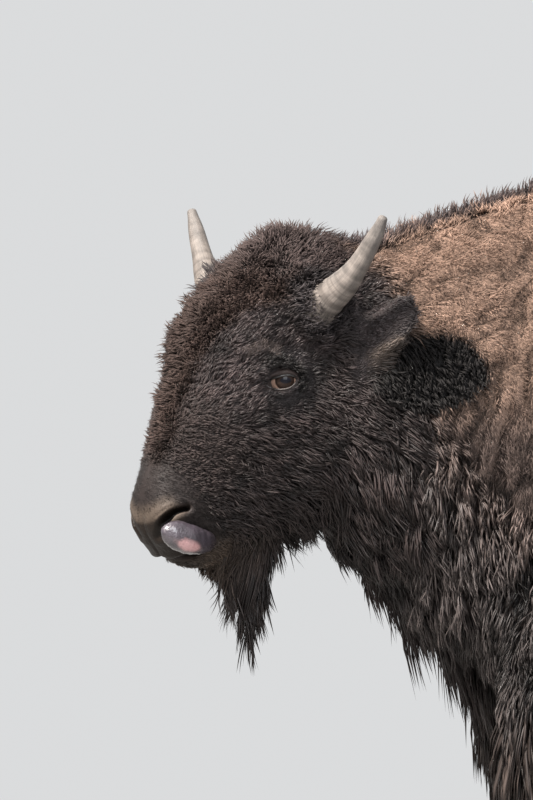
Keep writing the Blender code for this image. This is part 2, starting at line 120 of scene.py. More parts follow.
def hashed(cells: Array, seed: int) -> Array:
    """One number in 0..1 for each integer cell, alike in every run."""
    cells = cells.astype(np.int64)
    x, y, z, turn = HASH_STEPS
    mixed = (cells[..., 0] * x + cells[..., 1] * y + cells[..., 2] * z + seed * turn) & 0xFFFFFFFF
    mixed = ((mixed ^ (mixed >> 13)) * HASH_STIR) & 0xFFFFFFFF
    mixed ^= mixed >> 16
    return (mixed & 0xFFFFFF) / 0xFFFFFF


def soft_noise(points: Array, size: float, seed: int) -> Array:
    """Smooth noise in -1..1 whose bumps are about `size` across."""
    scaled = points / size
    cell = np.floor(scaled)
    share = scaled - cell
    share = share * share * (3.0 - 2.0 * share)
    total = np.zeros(len(points))
    for corner in np.ndindex(2, 2, 2):
        weight = np.prod(np.where(np.array(corner) == 1, share, 1.0 - share), axis=1)
        total += weight * hashed(cell + np.array(corner), seed)
    return total * 2.0 - 1.0


def noise_vectors(points: Array, size: float, seed: int) -> Array:
    """Three independent smooth noises as vectors."""
    return np.stack([soft_noise(points, size, seed + step) for step in range(3)], axis=1)


def locks_of(points: Array, size: float, seed: int) -> tuple[Array, Array]:
    """The middle of each point's lock, and the lock's own number in 0..1, for locks `size` apart."""
    cell = np.floor(points / size)
    nearest = np.full(len(points), np.inf)
    middle = np.zeros_like(points)
    tag = np.zeros(len(points))
    for step in np.ndindex(3, 3, 3):
        other = cell + np.array(step) - 1
        jitter = np.stack([hashed(other, seed + axis) for axis in range(3)], axis=1)
        place = (other + jitter) * size
        distance = ((points - place) ** 2).sum(axis=1)
        closer = distance < nearest
        nearest[closer], middle[closer] = distance[closer], place[closer]
        tag[closer] = hashed(other, seed + 7)[closer]
    return middle, tag


def curve_through(rows: Array, count: int) -> Array:
    """Rows resampled to `count` rows on one smooth curve through them all."""
    rows = np.asarray(rows, float)
    padded = np.vstack([2 * rows[0] - rows[1], rows, 2 * rows[-1] - rows[-2]])
    place = np.linspace(0, len(rows) - 1, count)
    step = np.minimum(place.astype(int), len(rows) - 2)
    t = (place - step)[:, None]
    a, b, c, d = (padded[step + shift] for shift in range(4))
    return 0.5 * (2 * b + (c - a) * t + (2 * a - 5 * b + 4 * c - d) * t**2 + (3 * b - a - 3 * c + d) * t**3)


def path_distance(points: Array, path: Array) -> Array:
    """The distance from each point to a run of straight steps."""
    nearest = np.full(len(points), np.inf)
    for start, end in zip(path[:-1], path[1:]):
        step = end - start
        share = clipped((points - start) @ step / max(step @ step, 1e-12))
        nearest = np.minimum(nearest, np.linalg.norm(points - start - share[:, None] * step, axis=1))
    return nearest


def box_middle(name: str) -> Array:
    """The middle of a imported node's box."""
    low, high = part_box(name)
    return (np.array(low) + np.array(high)) / 2


# ---------------------------------------------------------------- the head's own frame
@dataclass(frozen=True)
class HeadFrame:
    """The head's axes: along the nose, towards its left, and out of the crown."""

    origin: Array
    forward: Array
    left: Array
    crown: Array

    PITCH = math.radians(43.0)
    TURN = math.radians(23.0)
    EYE_AHEAD = 0.003
    EYE_ABOVE = 0.003

    @classmethod
    def from_eyes(cls) -> HeadFrame:
        """The frame that the two eyeballs' boxes give."""
        eyes = {side: box_middle(f"eye_{side}") for side in SIDES}
        left = unit(eyes["left"] - eyes["right"])
        level = math.cos(cls.PITCH)
        forward = np.array([level * math.sin(cls.TURN), -level * math.cos(cls.TURN), -math.sin(cls.PITCH)])
        forward = unit(forward - left * forward.dot(left))
        crown = np.cross(forward, left)
        middle = (eyes["left"] + eyes["right"]) / 2
        return cls(middle - forward * cls.EYE_AHEAD - crown * cls.EYE_ABOVE, forward, left, crown)

    def axes(self) -> Array:
        """The three axes as rows: along, side, above."""
        return np.stack([self.forward, self.left, self.crown])

    def local(self, points: Array) -> Array:
        """Places in the head's frame: along, side, above."""
        return (points - self.origin) @ self.axes().T

    def turned(self, local: Array) -> Array:
        """Directions in the row frame of directions given in the head's frame."""
        return np.asarray(local, float) @ self.axes()

    def place(self, local: Array) -> Array:
        """Places in the row frame of points given in the head's frame."""
        return self.origin + self.turned(local)


# ---------------------------------------------------------------- meshes
@contextmanager
def opened(mesh: Mesh) -> Iterator[bmesh.types.BMesh]:
    """A mesh opened for editing, and written back at the end."""
    shape = bmesh.new()
    shape.from_mesh(mesh)
    yield shape
    shape.to_mesh(mesh)
    shape.free()


def new_piece(name: str, mesh: Mesh) -> Piece:
    """An object that shows a mesh, at the origin."""
    piece = bpy.data.objects.new(name, mesh)
    bpy.context.scene.collection.objects.link(piece)
    return piece


def mesh_of(name: str, points: Array, faces: list) -> Mesh:
    """A mesh from places and faces, with outward normals and smooth shading."""
    mesh = bpy.data.meshes.new(name)
    mesh.from_pydata(np.asarray(points, float).tolist(), [], faces)
    with opened(mesh) as shape:
        bmesh.ops.recalc_face_normals(shape, faces=shape.faces)
    mesh.shade_smooth()
    return mesh


def welded(source: Mesh, name: str, growth: float) -> Piece:
    """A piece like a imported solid's mesh, its doubled corners joined, grown along its normals."""
    shape = bmesh.new()
    shape.from_mesh(source)
    bmesh.ops.remove_doubles(shape, verts=shape.verts, dist=WELD)
    shape.normal_update()
    for vertex in shape.verts:
        vertex.co += vertex.normal * growth
    mesh = bpy.data.meshes.new(name)
    shape.to_mesh(mesh)
    shape.free()
    return new_piece(name, mesh)


def read(rows: bpy.types.bpy_prop_collection, key: str, kind: type, width: int) -> Array:
    """One property of every row of a mesh's data."""
    found = np.empty(len(rows) * width, kind)
    rows.foreach_get(key, found)
    return found.reshape(-1, width)


def places_of(mesh: Mesh) -> Array:
    """The places of a mesh's vertices."""
    return read(mesh.vertices, "co", np.float32, 3).astype(float)


def normals_of(mesh: Mesh) -> Array:
    """The normals at a mesh's vertices."""
    mesh.update()
    return read(mesh.vertex_normals, "vector", np.float32, 3).astype(float)


def edges_of(mesh: Mesh) -> Array:
    """The pairs of vertices that a mesh's edges join."""
    return read(mesh.edges, "vertices", np.int32, 2)


def move_to(mesh: Mesh, points: Array) -> None:
    """Moves a mesh's vertices to new places."""
    mesh.vertices.foreach_set("co", points.astype(np.float32).ravel())
    mesh.update()


def store(mesh: Mesh, **traits: Array) -> None:
    """Writes values at the vertices as named attributes: numbers, vectors, or the colour `tone`."""
    for name, values in traits.items():
        kind, key = ("FLOAT", "value") if values.ndim == 1 else ("FLOAT_VECTOR", "vector")
        if name == "tone":
            kind, key = "FLOAT_COLOR", "color"
            values = np.column_stack([values, np.ones(len(values))])
        found = mesh.attributes.get(name) or mesh.attributes.new(name, kind, "POINT")
        found.data.foreach_set(key, np.ascontiguousarray(values, np.float32).ravel())


def evened(values: Array, edges: Array, amount: Array | float, rounds: int) -> Array:
    """Values at vertices drawn towards their neighbours' mean, `rounds` times over."""
    count = len(values)
    near = np.maximum(np.bincount(edges.ravel(), minlength=count), 1)[:, None]
    share = np.broadcast_to(np.asarray(amount, float), (count,))[:, None]
    first, second = edges.T

    def total(row: Array) -> Array:
        """The sum of each vertex's neighbours."""
        return np.bincount(first, row[second], count) + np.bincount(second, row[first], count)

    for _ in range(rounds):
        mean = np.stack([total(row) for row in values.T], axis=1) / near
        values = values + (mean - values) * share
    return values


def applied(piece: Piece) -> None:
    """Replaces a piece's mesh by what its modifiers make of it."""
    bpy.context.view_layer.update()
    graph = bpy.context.evaluated_depsgraph_get()
    made = bpy.data.meshes.new_from_object(piece.evaluated_get(graph))
    piece.modifiers.clear()
    piece.data = made


def fused(piece: Piece, voxel: float) -> Mesh:
    """Rebuilds a piece as one closed surface of even faces, and gives its new mesh."""
    remesh = piece.modifiers.new("fuse", "REMESH")
    remesh.mode = "VOXEL"
    remesh.voxel_size = voxel
    applied(piece)
    return piece.data


def turns(count: int) -> Array:
    """Equal steps round a circle, in radians."""
    return np.arange(count) * 2 * math.pi / count


def tube(path: Array, across: Array, points: int) -> tuple[Array, list]:
    """The vertices and faces of a closed limb.

    Args:
        path: rows of place, radius along `across`, and radius at right angles to it.
        across: the direction in which the first radius is measured.
        points: how many points a ring has.
    """
    middle = path[:, :3]
    heading = unit(np.gradient(middle, axis=0))
    side = unit(across - heading * (heading @ across)[:, None])
    other = np.cross(heading, side)
    angle = turns(points)[None, :, None]
    ring = (
        side[:, None] * (np.cos(angle) * path[:, None, 3:4])
        + other[:, None] * (np.sin(angle) * path[:, None, 4:5])
        + middle[:, None]
    )
    last = (len(path) - 1) * points
    faces = [
        (row + step, row + (step + 1) % points, row + points + (step + 1) % points, row + points + step)
        for row in range(0, last, points)
        for step in range(points)
    ]
    faces += [tuple(range(points))[::-1], tuple(range(last, last + points))]
    return ring.reshape(-1, 3), faces


# ---------------------------------------------------------------- materials
DULL = (0.05, 0.04, 0.03, 1.0)


class Nodes:
    """A short way to add and join shader or geometry nodes in one tree."""

    def __init__(self, tree: Tree) -> None:
        """Keeps the tree that nodes are added to."""
        self.tree = tree

    def feed(self, node: bpy.types.Node, inputs: dict) -> None:
        """Sets or joins a node's inputs, given by name or number."""
        for key, value in inputs.items():
            if isinstance(value, Socket):
                self.tree.links.new(value, node.inputs[key])
            else:
                node.inputs[key].default_value = value

    def add(self, kind: str, inputs: dict | None = None, **settings: object) -> Outputs:
        """Adds a node with some inputs and settings, and gives its outputs."""
        node = self.tree.nodes.new(kind)
        for name, value in settings.items():
            setattr(node, name, value)
        self.feed(node, inputs or {})
        return node.outputs

    def math(self, operation: str, *values: object, clamp: bool = False) -> Socket:
        """The result of some arithmetic."""
        inputs = dict(enumerate(values))
        return self.add("ShaderNodeMath", inputs, operation=operation, use_clamp=clamp)[0]

    def scaled(self, vector: Socket, amount: Socket) -> Socket:
        """A vector or colour times a number."""
        return self.add("ShaderNodeVectorMath", {0: vector, "Scale": amount}, operation="SCALE")[0]

    def joined(self, first: Socket, second: Socket) -> Socket:
        """The sum of two vectors."""
        return self.add("ShaderNodeVectorMath", {0: first, 1: second}, operation="ADD")[0]

    def noise(self, inputs: dict, **settings: object) -> Socket:
        """A noise texture's value."""
        return self.add("ShaderNodeTexNoise", inputs, **settings)["Fac"]

    def ranged(self, value: Socket, source: tuple, target: tuple, kind: str = "LINEAR") -> Socket:
        """A value carried from one range to another."""
        ends = dict(zip(("From Min", "From Max", "To Min", "To Max"), (*source, *target)))
        return self.add("ShaderNodeMapRange", {"Value": value, **ends}, interpolation_type=kind)[0]

    def mixed(self, share: Socket, first: Socket, second: Socket) -> Socket:
        """A colour between two."""
        return self.add("ShaderNodeMix", {"Factor": share, 6: first, 7: second}, data_type="RGBA")[2]

    def trait(self, name: str, output: str = "Fac") -> Socket:
        """One of the mesh's own attributes."""
        return self.add("ShaderNodeAttribute", attribute_name=name)[output]

    def place(self) -> Socket:
        """The place in the object's own space."""
        return self.add("ShaderNodeTexCoord")["Object"]

    def surface(self, drawn: dict, bump: tuple[float, float], **levels: float) -> None:
        """Gives the Principled shader a colour, a roughness, a height and fixed levels.

        Args:
            drawn: what a shader group gives, by name.
            bump: the bump's strength and distance; no strength means no bump.
            levels: other inputs of the shader, with _ for each space of a name.
        """
        shader = self.tree.nodes["Principled BSDF"]
        self.feed(shader, {"Base Color": drawn["Colour"], "Roughness": drawn["Roughness"]})
        if bump[0]:
            relief = {"Height": drawn["Height"], "Strength": bump[0], "Distance": bump[1]}
            self.feed(shader, {"Normal": self.add("ShaderNodeBump", relief)[0]})
        self.feed(shader, {name.replace("_", " "): value for name, value in levels.items()})


def shader_group(name: str, inputs: dict) -> tuple[Nodes, Outputs, bpy.types.Node]:
    """A shader group that gives a colour, a roughness and a height.

    Args:
        name: the group's name.
        inputs: each input's default: a number, a vector of three or a colour of four.

    Returns:
        The group's Nodes, what it is given, and the node its results go to.
    """
    tree = bpy.data.node_groups.new(name, "ShaderNodeTree")
    kinds = {1: "NodeSocketFloat", 3: "NodeSocketVector", 4: "NodeSocketColor"}
    for socket, value in inputs.items():
        made = tree.interface.new_socket(socket, in_out="INPUT", socket_type=kinds[np.size(value)])
        made.default_value = value
    for socket, kind in (("Colour", kinds[4]), ("Roughness", kinds[1]), ("Height", kinds[1])):
        tree.interface.new_socket(socket, in_out="OUTPUT", socket_type=kind)
    nodes = Nodes(tree)
    return nodes, nodes.add("NodeGroupInput"), tree.nodes.new("NodeGroupOutput")


def mottle_group() -> Tree:
    """Uneven colour, roughness and height, at two scales."""
    levels = {"Coarse": 12.0, "Fine": 260.0, "Amount": 0.25, "Roughness": 0.6}
    nodes, given, made = shader_group("mottle", {"Colour": DULL, **levels})
    place = nodes.place()
    coarse = nodes.noise({"Vector": place, "Scale": given["Coarse"], "Detail": 3.0})
    fine = nodes.noise({"Vector": place, "Scale": given["Fine"], "Detail": 2.0})
    centred = nodes.math("ADD", nodes.math("ADD", coarse, fine), -1.0)
    swing = nodes.math("MULTIPLY", centred, given["Amount"])
    colour = nodes.scaled(given["Colour"], nodes.math("ADD", swing, 1.0))
    rough = nodes.math("ADD", swing, given["Roughness"], clamp=True)
    nodes.feed(made, {"Colour": colour, "Roughness": rough, "Height": fine})
    return nodes.tree


def strand_group() -> Tree:
    """Fine hairs drawn along each tuft, darker at the root as painted shade deep in the coat, and paler at
    the tip.
    """
    levels = {"Root": 0.6, "Tip": 1.2, "Contrast": 0.5, "Gloss": 0.5, "Matte": 0.8, "Glossy": 0.4}
    shape = {"Colour": DULL, "Shape": (0.0, 0.0, 0.0), "Seed": 0.0}
    nodes, given, made = shader_group("strands", {**shape, **levels})
    along, side, thick = nodes.add("ShaderNodeSeparateXYZ", {0: given["Shape"]})
    offset = nodes.math("MULTIPLY", given["Seed"], 57.0)
    drawn = ((along, 0.8), (side, 2.6), (thick, 2.6))
    parts = [nodes.math("MULTIPLY_ADD", part, rate, offset) for part, rate in drawn]
    place = nodes.add("ShaderNodeCombineXYZ", dict(enumerate(parts)))[0]
    hairs = nodes.noise({"Vector": place, "Scale": 1.5, "Detail": 2.0})
    swing = nodes.math("MULTIPLY", nodes.math("ADD", hairs, -0.5), given["Contrast"])
    # painted shade: each tuft darkens towards its root
    shade = nodes.ranged(along, (0.0, 1.0), (given["Root"], given["Tip"]))
    whole = nodes.math("MULTIPLY", nodes.math("ADD", swing, 1.0), shade)
    polish = nodes.ranged(given["Gloss"], (0.0, 1.0), (given["Matte"], given["Glossy"]))
    rough = nodes.math("MULTIPLY_ADD", swing, 0.3, polish, clamp=True)
    nodes.feed(made, {"Colour": nodes.scaled(given["Colour"], whole), "Roughness": rough, "Height": hairs})
    return nodes.tree


def keratin_group() -> Tree:
    """Keratin's colour bands, its grain as height and the roughness that goes with both."""
    tones = {"Base": (0.2, 0.18, 0.16, 1.0), "Band": (0.1, 0.09, 0.08, 1.0), "Tip": (0.1, 0.1, 0.1, 1.0)}
    nodes, given, made = shader_group("keratin", {**tones, "Along": 0.0, "Grain": 1.0, "Roughness": 0.4})
    grain = {"Vector": nodes.trait("strand", "Vector"), "Scale": 26.0, "Detail": 5.0, "Roughness": 0.65}
    fibres = nodes.noise(grain)
    blotch = nodes.noise({"Vector": nodes.place(), "Scale": 70.0, "Detail": 4.0})
    rings = nodes.noise({"W": given["Along"], "Scale": 17.0, "Detail": 3.0}, noise_dimensions="1D")
    ringed = nodes.ranged(rings, (0.42, 0.62), (0.0, 1.0), "SMOOTHSTEP")
    towards = nodes.ranged(given["Along"], (0.55, 1.0), (0.0, 1.0), "SMOOTHSTEP")
    tipped = nodes.mixed(towards, nodes.mixed(ringed, given["Base"], given["Band"]), given["Tip"])
    grained = nodes.ranged(fibres, (0.3, 0.7), (0.5, 1.4))
    spotted = nodes.ranged(blotch, (0.3, 0.7), (0.60, 1.3))
    colour = nodes.scaled(tipped, nodes.math("MULTIPLY", grained, spotted))
    swing = nodes.math("MULTIPLY_ADD", fibres, 0.35, -0.17)
    rough = nodes.math("ADD", swing, given["Roughness"], clamp=True)
    height = nodes.math("MULTIPLY_ADD", rings, 0.8, nodes.math("MULTIPLY", fibres, given["Grain"]))
    nodes.feed(made, {"Colour": colour, "Roughness": rough, "Height": height})
    return nodes.tree


def new_material(name: str) -> tuple[Material, Nodes]:
    """A new material and its Nodes."""
    made = bpy.data.materials.new(name)
    made.use_nodes = True
    return made, Nodes(made.node_tree)


@dataclass(frozen=True)
class HairFinish:
    """Hair: its colour comes from the `tone` attribute, drawn out into fine hairs along each tuft."""

    matte: float = 0.88
    glossy: float = 0.50
    specular: float = 0.28
    # a root below 1 is painted shade deep in the coat
    root: float = 0.62
    tip: float = 1.16
    contrast: float = 0.9

    def material(self, strands: Tree) -> Material:
        """The hair's material."""
        made, nodes = new_material("hair")
        given = {
            "Colour": nodes.trait("tone", "Color"),
            "Shape": nodes.trait("shape", "Vector"),
            "Seed": nodes.trait("seed"),
            "Gloss": nodes.trait("gloss"),
            **{name.title(): getattr(self, name) for name in ("root", "tip", "contrast", "matte", "glossy")},
        }
        drawn = nodes.add("ShaderNodeGroup", given, node_tree=strands)
        nodes.surface(drawn, (0.4, 0.0006), Specular_IOR_Level=self.specular)
        return made


@dataclass(frozen=True)
class SkinFinish:
    """Skin under the coat: the coat's tones, and pebbled leather on the nose pad."""

    roughness: float = 0.6
    pad_roughness: float = 0.46
    specular: float = 0.14
    grain: float = 420.0

    def material(self, mottle: Tree) -> Material:
        """The skin's material."""
        made, nodes = new_material("skin")
        given = {"Fine": self.grain, "Amount": 0.3, "Roughness": self.roughness}
        tone, bare = nodes.trait("tone", "Color"), nodes.trait("bare")
        drawn = nodes.add("ShaderNodeGroup", {"Colour": tone, **given}, node_tree=mottle)
        pebbled = {"Vector": nodes.place(), "Scale": self.grain}
        pebbles = nodes.add("ShaderNodeTexVoronoi", pebbled, feature="SMOOTH_F1")["Distance"]
        whole = {
            name: nodes.add("ShaderNodeMix", {"Factor": bare, "A": drawn[name], "B": other})[0]
            for name, other in (("Height", pebbles), ("Roughness", self.pad_roughness))
        }
        nodes.surface({"Colour": drawn["Colour"], **whole}, (0.55, 0.0012), Specular_IOR_Level=self.specular)
        return made


@dataclass(frozen=True)
class KeratinFinish:
    """Horn or hoof: growth bands across it, grain along it and a worn sheen."""

    name: str
    base: Triple
    band: Triple
    tip: Triple
    roughness: float
    grain: float
    specular: float = 0.45

    def material(self, keratin: Tree) -> Material:
        """The keratin's material; the mesh's `along` and `strand` carry its own directions."""
        made, nodes = new_material(self.name)
        tones = {name.title(): (*getattr(self, name), 1.0) for name in ("base", "band", "tip")}
        given = {"Along": nodes.trait("along"), "Grain": self.grain, "Roughness": self.roughness}
        drawn = nodes.add("ShaderNodeGroup", {**tones, **given}, node_tree=keratin)
        nodes.surface(drawn, (0.5, 0.0008), Specular_IOR_Level=self.specular)
        return made


@dataclass(frozen=True)
class WetFinish:
    """A wet surface coloured by its `tone` attribute: eye, lid or tongue."""

    name: str
    roughness: float
    coat: float
    specular: float
    grain: float
    bump: float
    coat_roughness: float = 0.06

    def material(self, mottle: Tree) -> Material:
        """The wet surface's material."""
        made, nodes = new_material(self.name)
        given = {"Fine": self.grain, "Amount": 0.3, "Roughness": self.roughness}
        tone = nodes.trait("tone", "Color")
        drawn = nodes.add("ShaderNodeGroup", {"Colour": tone, **given}, node_tree=mottle)
        levels = {"Coat_Weight": self.coat, "Coat_Roughness": self.coat_roughness}
        nodes.surface(drawn, (self.bump, 0.001), Specular_IOR_Level=self.specular, **levels)
        return made


@dataclass(frozen=True)
class FloorFinish:
    """The studio's plain floor."""

    colour: Triple = (0.24, 0.235, 0.23)
    roughness: float = 0.9

    def material(self) -> Material:
        """The floor's material."""
        made, nodes = new_material("studio_floor")
        levels = {"Base Color": (*self.colour, 1.0), "Roughness": self.roughness}
        nodes.feed(made.node_tree.nodes["Principled BSDF"], levels)
        return made


class Palette:
    """Every material of the animal, made once."""

    HORN = KeratinFinish(
        "horn", (0.112, 0.094, 0.082), (0.062, 0.051, 0.044), (0.088, 0.077, 0.070), 0.62, 1.5
    )
    HOOF = KeratinFinish("hoof", (0.045, 0.038, 0.033), (0.020, 0.017, 0.015), (0.07, 0.06, 0.05), 0.45, 0.6)
    EYE = WetFinish("eye", 0.22, 0.13, 0.08, 300.0, 0.0)
    LID = WetFinish("lid", 0.42, 0.25, 0.4, 900.0, 0.5)
    TONGUE = WetFinish("tongue", 0.30, 0.8, 0.4, 420.0, 0.9)

    def __init__(self) -> None:
        """Builds the shared groups and the materials that use them."""
        mottle, keratin = mottle_group(), keratin_group()
        self.hair = HairFinish().material(strand_group())
        self.skin = SkinFinish().material(mottle)
        self.horn, self.hoof = (finish.material(keratin) for finish in (self.HORN, self.HOOF))
        self.eye, self.lid, self.tongue = (
            finish.material(mottle) for finish in (self.EYE, self.LID, self.TONGUE)
        )


def finish_piece(piece: Piece, material: Material, slot: str, *nodes: str) -> None:
    """Dresses a piece, lets it ride the body and hides the imported nodes it stands for."""
    piece.data.materials.clear()
    piece.data.materials.append(material)
    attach(piece, BODY)
    if nodes:
        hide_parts(*nodes)
    LOG.info("%s: %d triangles", piece.name, sum(len(face.vertices) - 2 for face in piece.data.polygons))


# ---------------------------------------------------------------- where the coat grows
EYE_LOCAL = (0.003, 0.070, 0.003)
LIDS_LOCAL = (0.006, 0.088, 0.006)
NOSTRIL_LOCAL = (0.235, 0.045, -0.024)
HORN_ROOT_LOCAL = (-0.088, 0.104, 0.048)
HORN_REAR_LOCAL = (-0.150, 0.110, 0.012)
EAR_LINE = (
    (-0.100, 0.095, -0.032),
    (-0.124, 0.127, -0.024),
    (-0.140, 0.152, -0.021),
    (-0.155, 0.176, -0.020),
)
EAR_THIN = (0.43, 0.21, 0.88)
BROW_LINE = ((0.024, 0.073, 0.070), (0.003, 0.075, 0.060), (-0.006, 0.079, 0.046))
HOLLOW_LINE = (
    (0.021, 0.083, 0.053),
    (0.000, 0.086, 0.035),
    (-0.008, 0.088, 0.017),
    (-0.010, 0.092, 0.001),
    (-0.002, 0.094, -0.014),
)
BEARD_LINE = ((0.068, -0.686, 0.800), (0.072, -0.690, 0.740), (0.075, -0.700, 0.690))
CAP_ALONG = (-0.150, -0.090, -0.046, 0.0, 0.035, 0.070, 0.130)
CAP_EDGE = (0.135, 0.104, 0.074, 0.057, 0.040, 0.030, 0.014)
MANE_BACK = (-0.60, -0.52, -0.40, -0.20, 0.0)
MANE_EDGE = (1.02, 0.95, 0.81, 0.69, 0.56)
RIDGE_SIZE = (0.05, 0.075, 0.0150)
RIDGE_ANGLES = (12.0, 50.0, 78.0)
RIDGE_SEED = 111


@dataclass(frozen=True)
class Places:
    """Places on the animal, in the row frame and in the head's frame."""

    points: Array
    normals: Array
    head: Array

    @classmethod
    def seen_from(cls, points: Array, normals: Array, frame: HeadFrame) -> Places:
        """The places of points on the skin."""
        return cls(points, normals, frame.local(points))

    @property
    def across(self) -> Array:
        """Row-frame x: towards the left."""
        return self.points[:, 0]

    @property
    def back(self) -> Array:
        """Row-frame y: grows from nose to tail."""
        return self.points[:, 1]

    @property
    def height(self) -> Array:
        """Height over the floor."""
        return self.points[:, 2]

    @property
    def along(self) -> Array:
        """Along the nose."""
        return self.head[:, 0]

    @property
    def side(self) -> Array:
        """Distance from the head's middle plane."""
        return np.abs(self.head[:, 1])

    @property
    def above(self) -> Array:
        """Above the eyes, out of the crown."""
        return self.head[:, 2]

    @property
    def mirrored(self) -> Array:
        """Places in the head's frame, all brought to its left side."""
        return np.stack([self.along, self.side, self.above], axis=1)

    def on_head(self) -> Array:
        """1 on the head, falling to 0 over the neck."""
        limit = -0.180 + 0.125 * ramp(-0.09, -0.235, self.above) + 0.9 * np.maximum(self.side - 0.095, 0.0)
        face = ramp(-0.040, 0.030, self.along - limit) * ramp(-0.30, -0.25, self.above)
        return np.maximum(face * ramp(0.27, 0.23, self.side), self.on_ear())

    def head_past(self, along: float) -> Array:
        """The part of the head beyond a place along the nose."""
        return self.on_head() * (self.along > along)

    def on_ear(self) -> Array:
        """1 on the ears, falling to 0 where they grow out of the head."""
        thin = unit(np.array(EAR_THIN))
        squash = np.eye(3) + 1.1 * np.outer(thin, thin)
        return ramp(0.060, 0.048, path_distance(self.mirrored @ squash, np.array(EAR_LINE) @ squash))

    def on_leg(self) -> Array:
        """1 on the legs, falling to 0 over shoulder and haunch."""
        hind = ramp(0.1, 0.2, self.back)
        return ramp(0.60, 0.50, self.height) * (1 - hind) + ramp(0.66, 0.50, self.height) * hind

    def on_tail(self) -> Array:
        """1 on the tail."""
        return ramp(0.785, 0.812, self.back) * ramp(0.05, 0.035, np.abs(self.across))

    def left(self) -> Array:
        """1 on the body's left."""
        return ramp(-0.03, 0.02, self.across)

    def near_line(self, line: tuple, inner: float, outer: float) -> Array:
        """1 within a distance of a line drawn on the head's left, on either side."""
        return ramp(outer, inner, path_distance(self.mirrored, np.array(line)))

    def near(self, centre: Triple, inner: float, outer: float) -> Array:
        """1 within `inner` of a point in the head's frame (on both sides), 0 beyond `outer`."""
        return ramp(outer, inner, np.linalg.norm(self.mirrored - np.array(centre), axis=1))


@dataclass(frozen=True)
class Hair:
    """What the hair is like in one stretch of the coat, or as arrays at each of many places.

    `bends` picks the tuft's fineness.  Depth, length, width, lock size and ridge height are in
    metres, density in tufts for each square metre.  Lift, curl, pull and fuzz are shares.
    """

    bends: float | Array
    depth: float | Array
    length: float | Array
    width: float | Array
    lift: float | Array
    curl: float | Array
    pull: float | Array
    lock: float | Array
    density: float | Array
    fuzz: float | Array
    ridge: float | Array
    tone: Triple | Array
    lie: Triple | Array

    @classmethod
    def at(cls, places: Places, frame: HeadFrame) -> Hair:
        """The hair at some places, each stretch blended over the ones before it."""
        count = len(places.points)
        values = {part.name: np.zeros(count) for part in fields(cls)}
        values |= {name: np.zeros((count, 3)) for name in ("tone", "lie")}
        for stretch in STRETCHES:
            share = clipped(stretch.where(places))
            lie = np.tile(stretch.hair.lie, (count, 1))
            if stretch.head_lie:
                lie[:, 1] *= np.sign(places.head[:, 1])
                lie = frame.turned(lie)
            else:
                lie[:, 0] *= np.sign(places.across)
            for name, whole in values.items():
                wanted = lie if name == "lie" else np.array(getattr(stretch.hair, name))
                whole += (share if whole.ndim == 1 else share[:, None]) * (wanted - whole)
        return cls(**values)


@dataclass(frozen=True)
class Stretch:
    """A stretch of the coat: where it grows, its hair, and whose frame its lie is given in."""

    name: str
    where: Callable[[Places], Array]
    hair: Hair
    head_lie: bool = False


def mane_mask(p: Places) -> Array:
    """Lower neck, throat and chest."""
    edge = np.interp(p.back, MANE_BACK, MANE_EDGE)
    return ramp(0.11, -0.07, p.height - edge) * ramp(0.0, -0.16, p.back)


def neck_mask(p: Places) -> Array:
    """The neck and the front of the hump."""
    return ramp(-0.22, -0.32, p.back)


def shoulder_mask(p: Places) -> Array:
    """The dark shoulder, with an uneven upper edge."""
    uneven = p.height + 0.06 * soft_noise(p.points, 0.10, 41)
    return ramp(1.05, 0.88, uneven) * ramp(0.20, 0.0, p.back) * ramp(0.60, 0.70, p.height)


def fringe_mask(p: Places) -> Array:
    """The pale edge of hair over the nose pad: it dips at the middle and climbs to the nostrils."""
    height = p.above + 0.12 * np.clip(0.045 - p.side, 0.0, 0.045)
    front = p.on_head() * ramp(0.207, 0.226, p.along)
    return front * ramp(-0.040, -0.026, height) * ramp(0.008, -0.006, height)


def cap_mask(p: Places) -> Array:
    """The wool cap: wide between the horns, narrowing down the forehead."""
    wavy = np.interp(p.along, CAP_ALONG, CAP_EDGE) + 0.006 * soft_noise(p.points, 0.022, 47)
    return p.on_head() * ramp(0.008, -0.006, p.side - wavy) * ramp(0.010, 0.045, p.above)


def painted_ear_shadow_mask(p: Places) -> Array:
    """A painted shadow of the ear: a near-black patch on the left of the neck, behind and below the ear."""
    reach = np.hypot((p.back + 0.485) / 0.080, (p.height - 1.030) / 0.048)
    return ramp(1.12, 0.92, reach + 0.10 * soft_noise(p.points, 0.02, 45)) * ramp(0.05, 0.09, p.across)


def ear_rim_mask(p: Places) -> Array:
    """The pale rim round the ears."""
    return p.on_ear() * p.near_line(EAR_LINE, 0.031, 0.025) * ramp(0.120, 0.135, p.side)


def wool_ridges(p: Places) -> Array:
    """The height of the wool's ridges, 0 in a groove and 1 on top; they swing round down the neck."""
    swirl = ramp(0.11, 0.04, np.hypot(p.back + 0.455, p.height - 1.10))
    steep = ramp(1.09, 1.01, p.height)
    shares = (swirl, (1 - swirl) * (1 - steep), (1 - swirl) * steep)
    bent = p.points + 0.010 * noise_vectors(p.points, 0.035, 101)
    total = np.zeros(len(p.points))
    for seed, (degrees, share) in enumerate(zip(RIDGE_ANGLES, shares), RIDGE_SEED):
        angle = math.radians(degrees)
        cos, sin = math.cos(angle), math.sin(angle)
        along = bent[:, 1] * cos + bent[:, 2] * sin
        across = bent[:, 2] * cos - bent[:, 1] * sin
        stretched = np.stack([bent[:, 0], along, across], axis=1) / RIDGE_SIZE
        total += share * np.minimum(1.0, 2.3 * np.abs(soft_noise(stretched, 1.0, seed)))
    return total


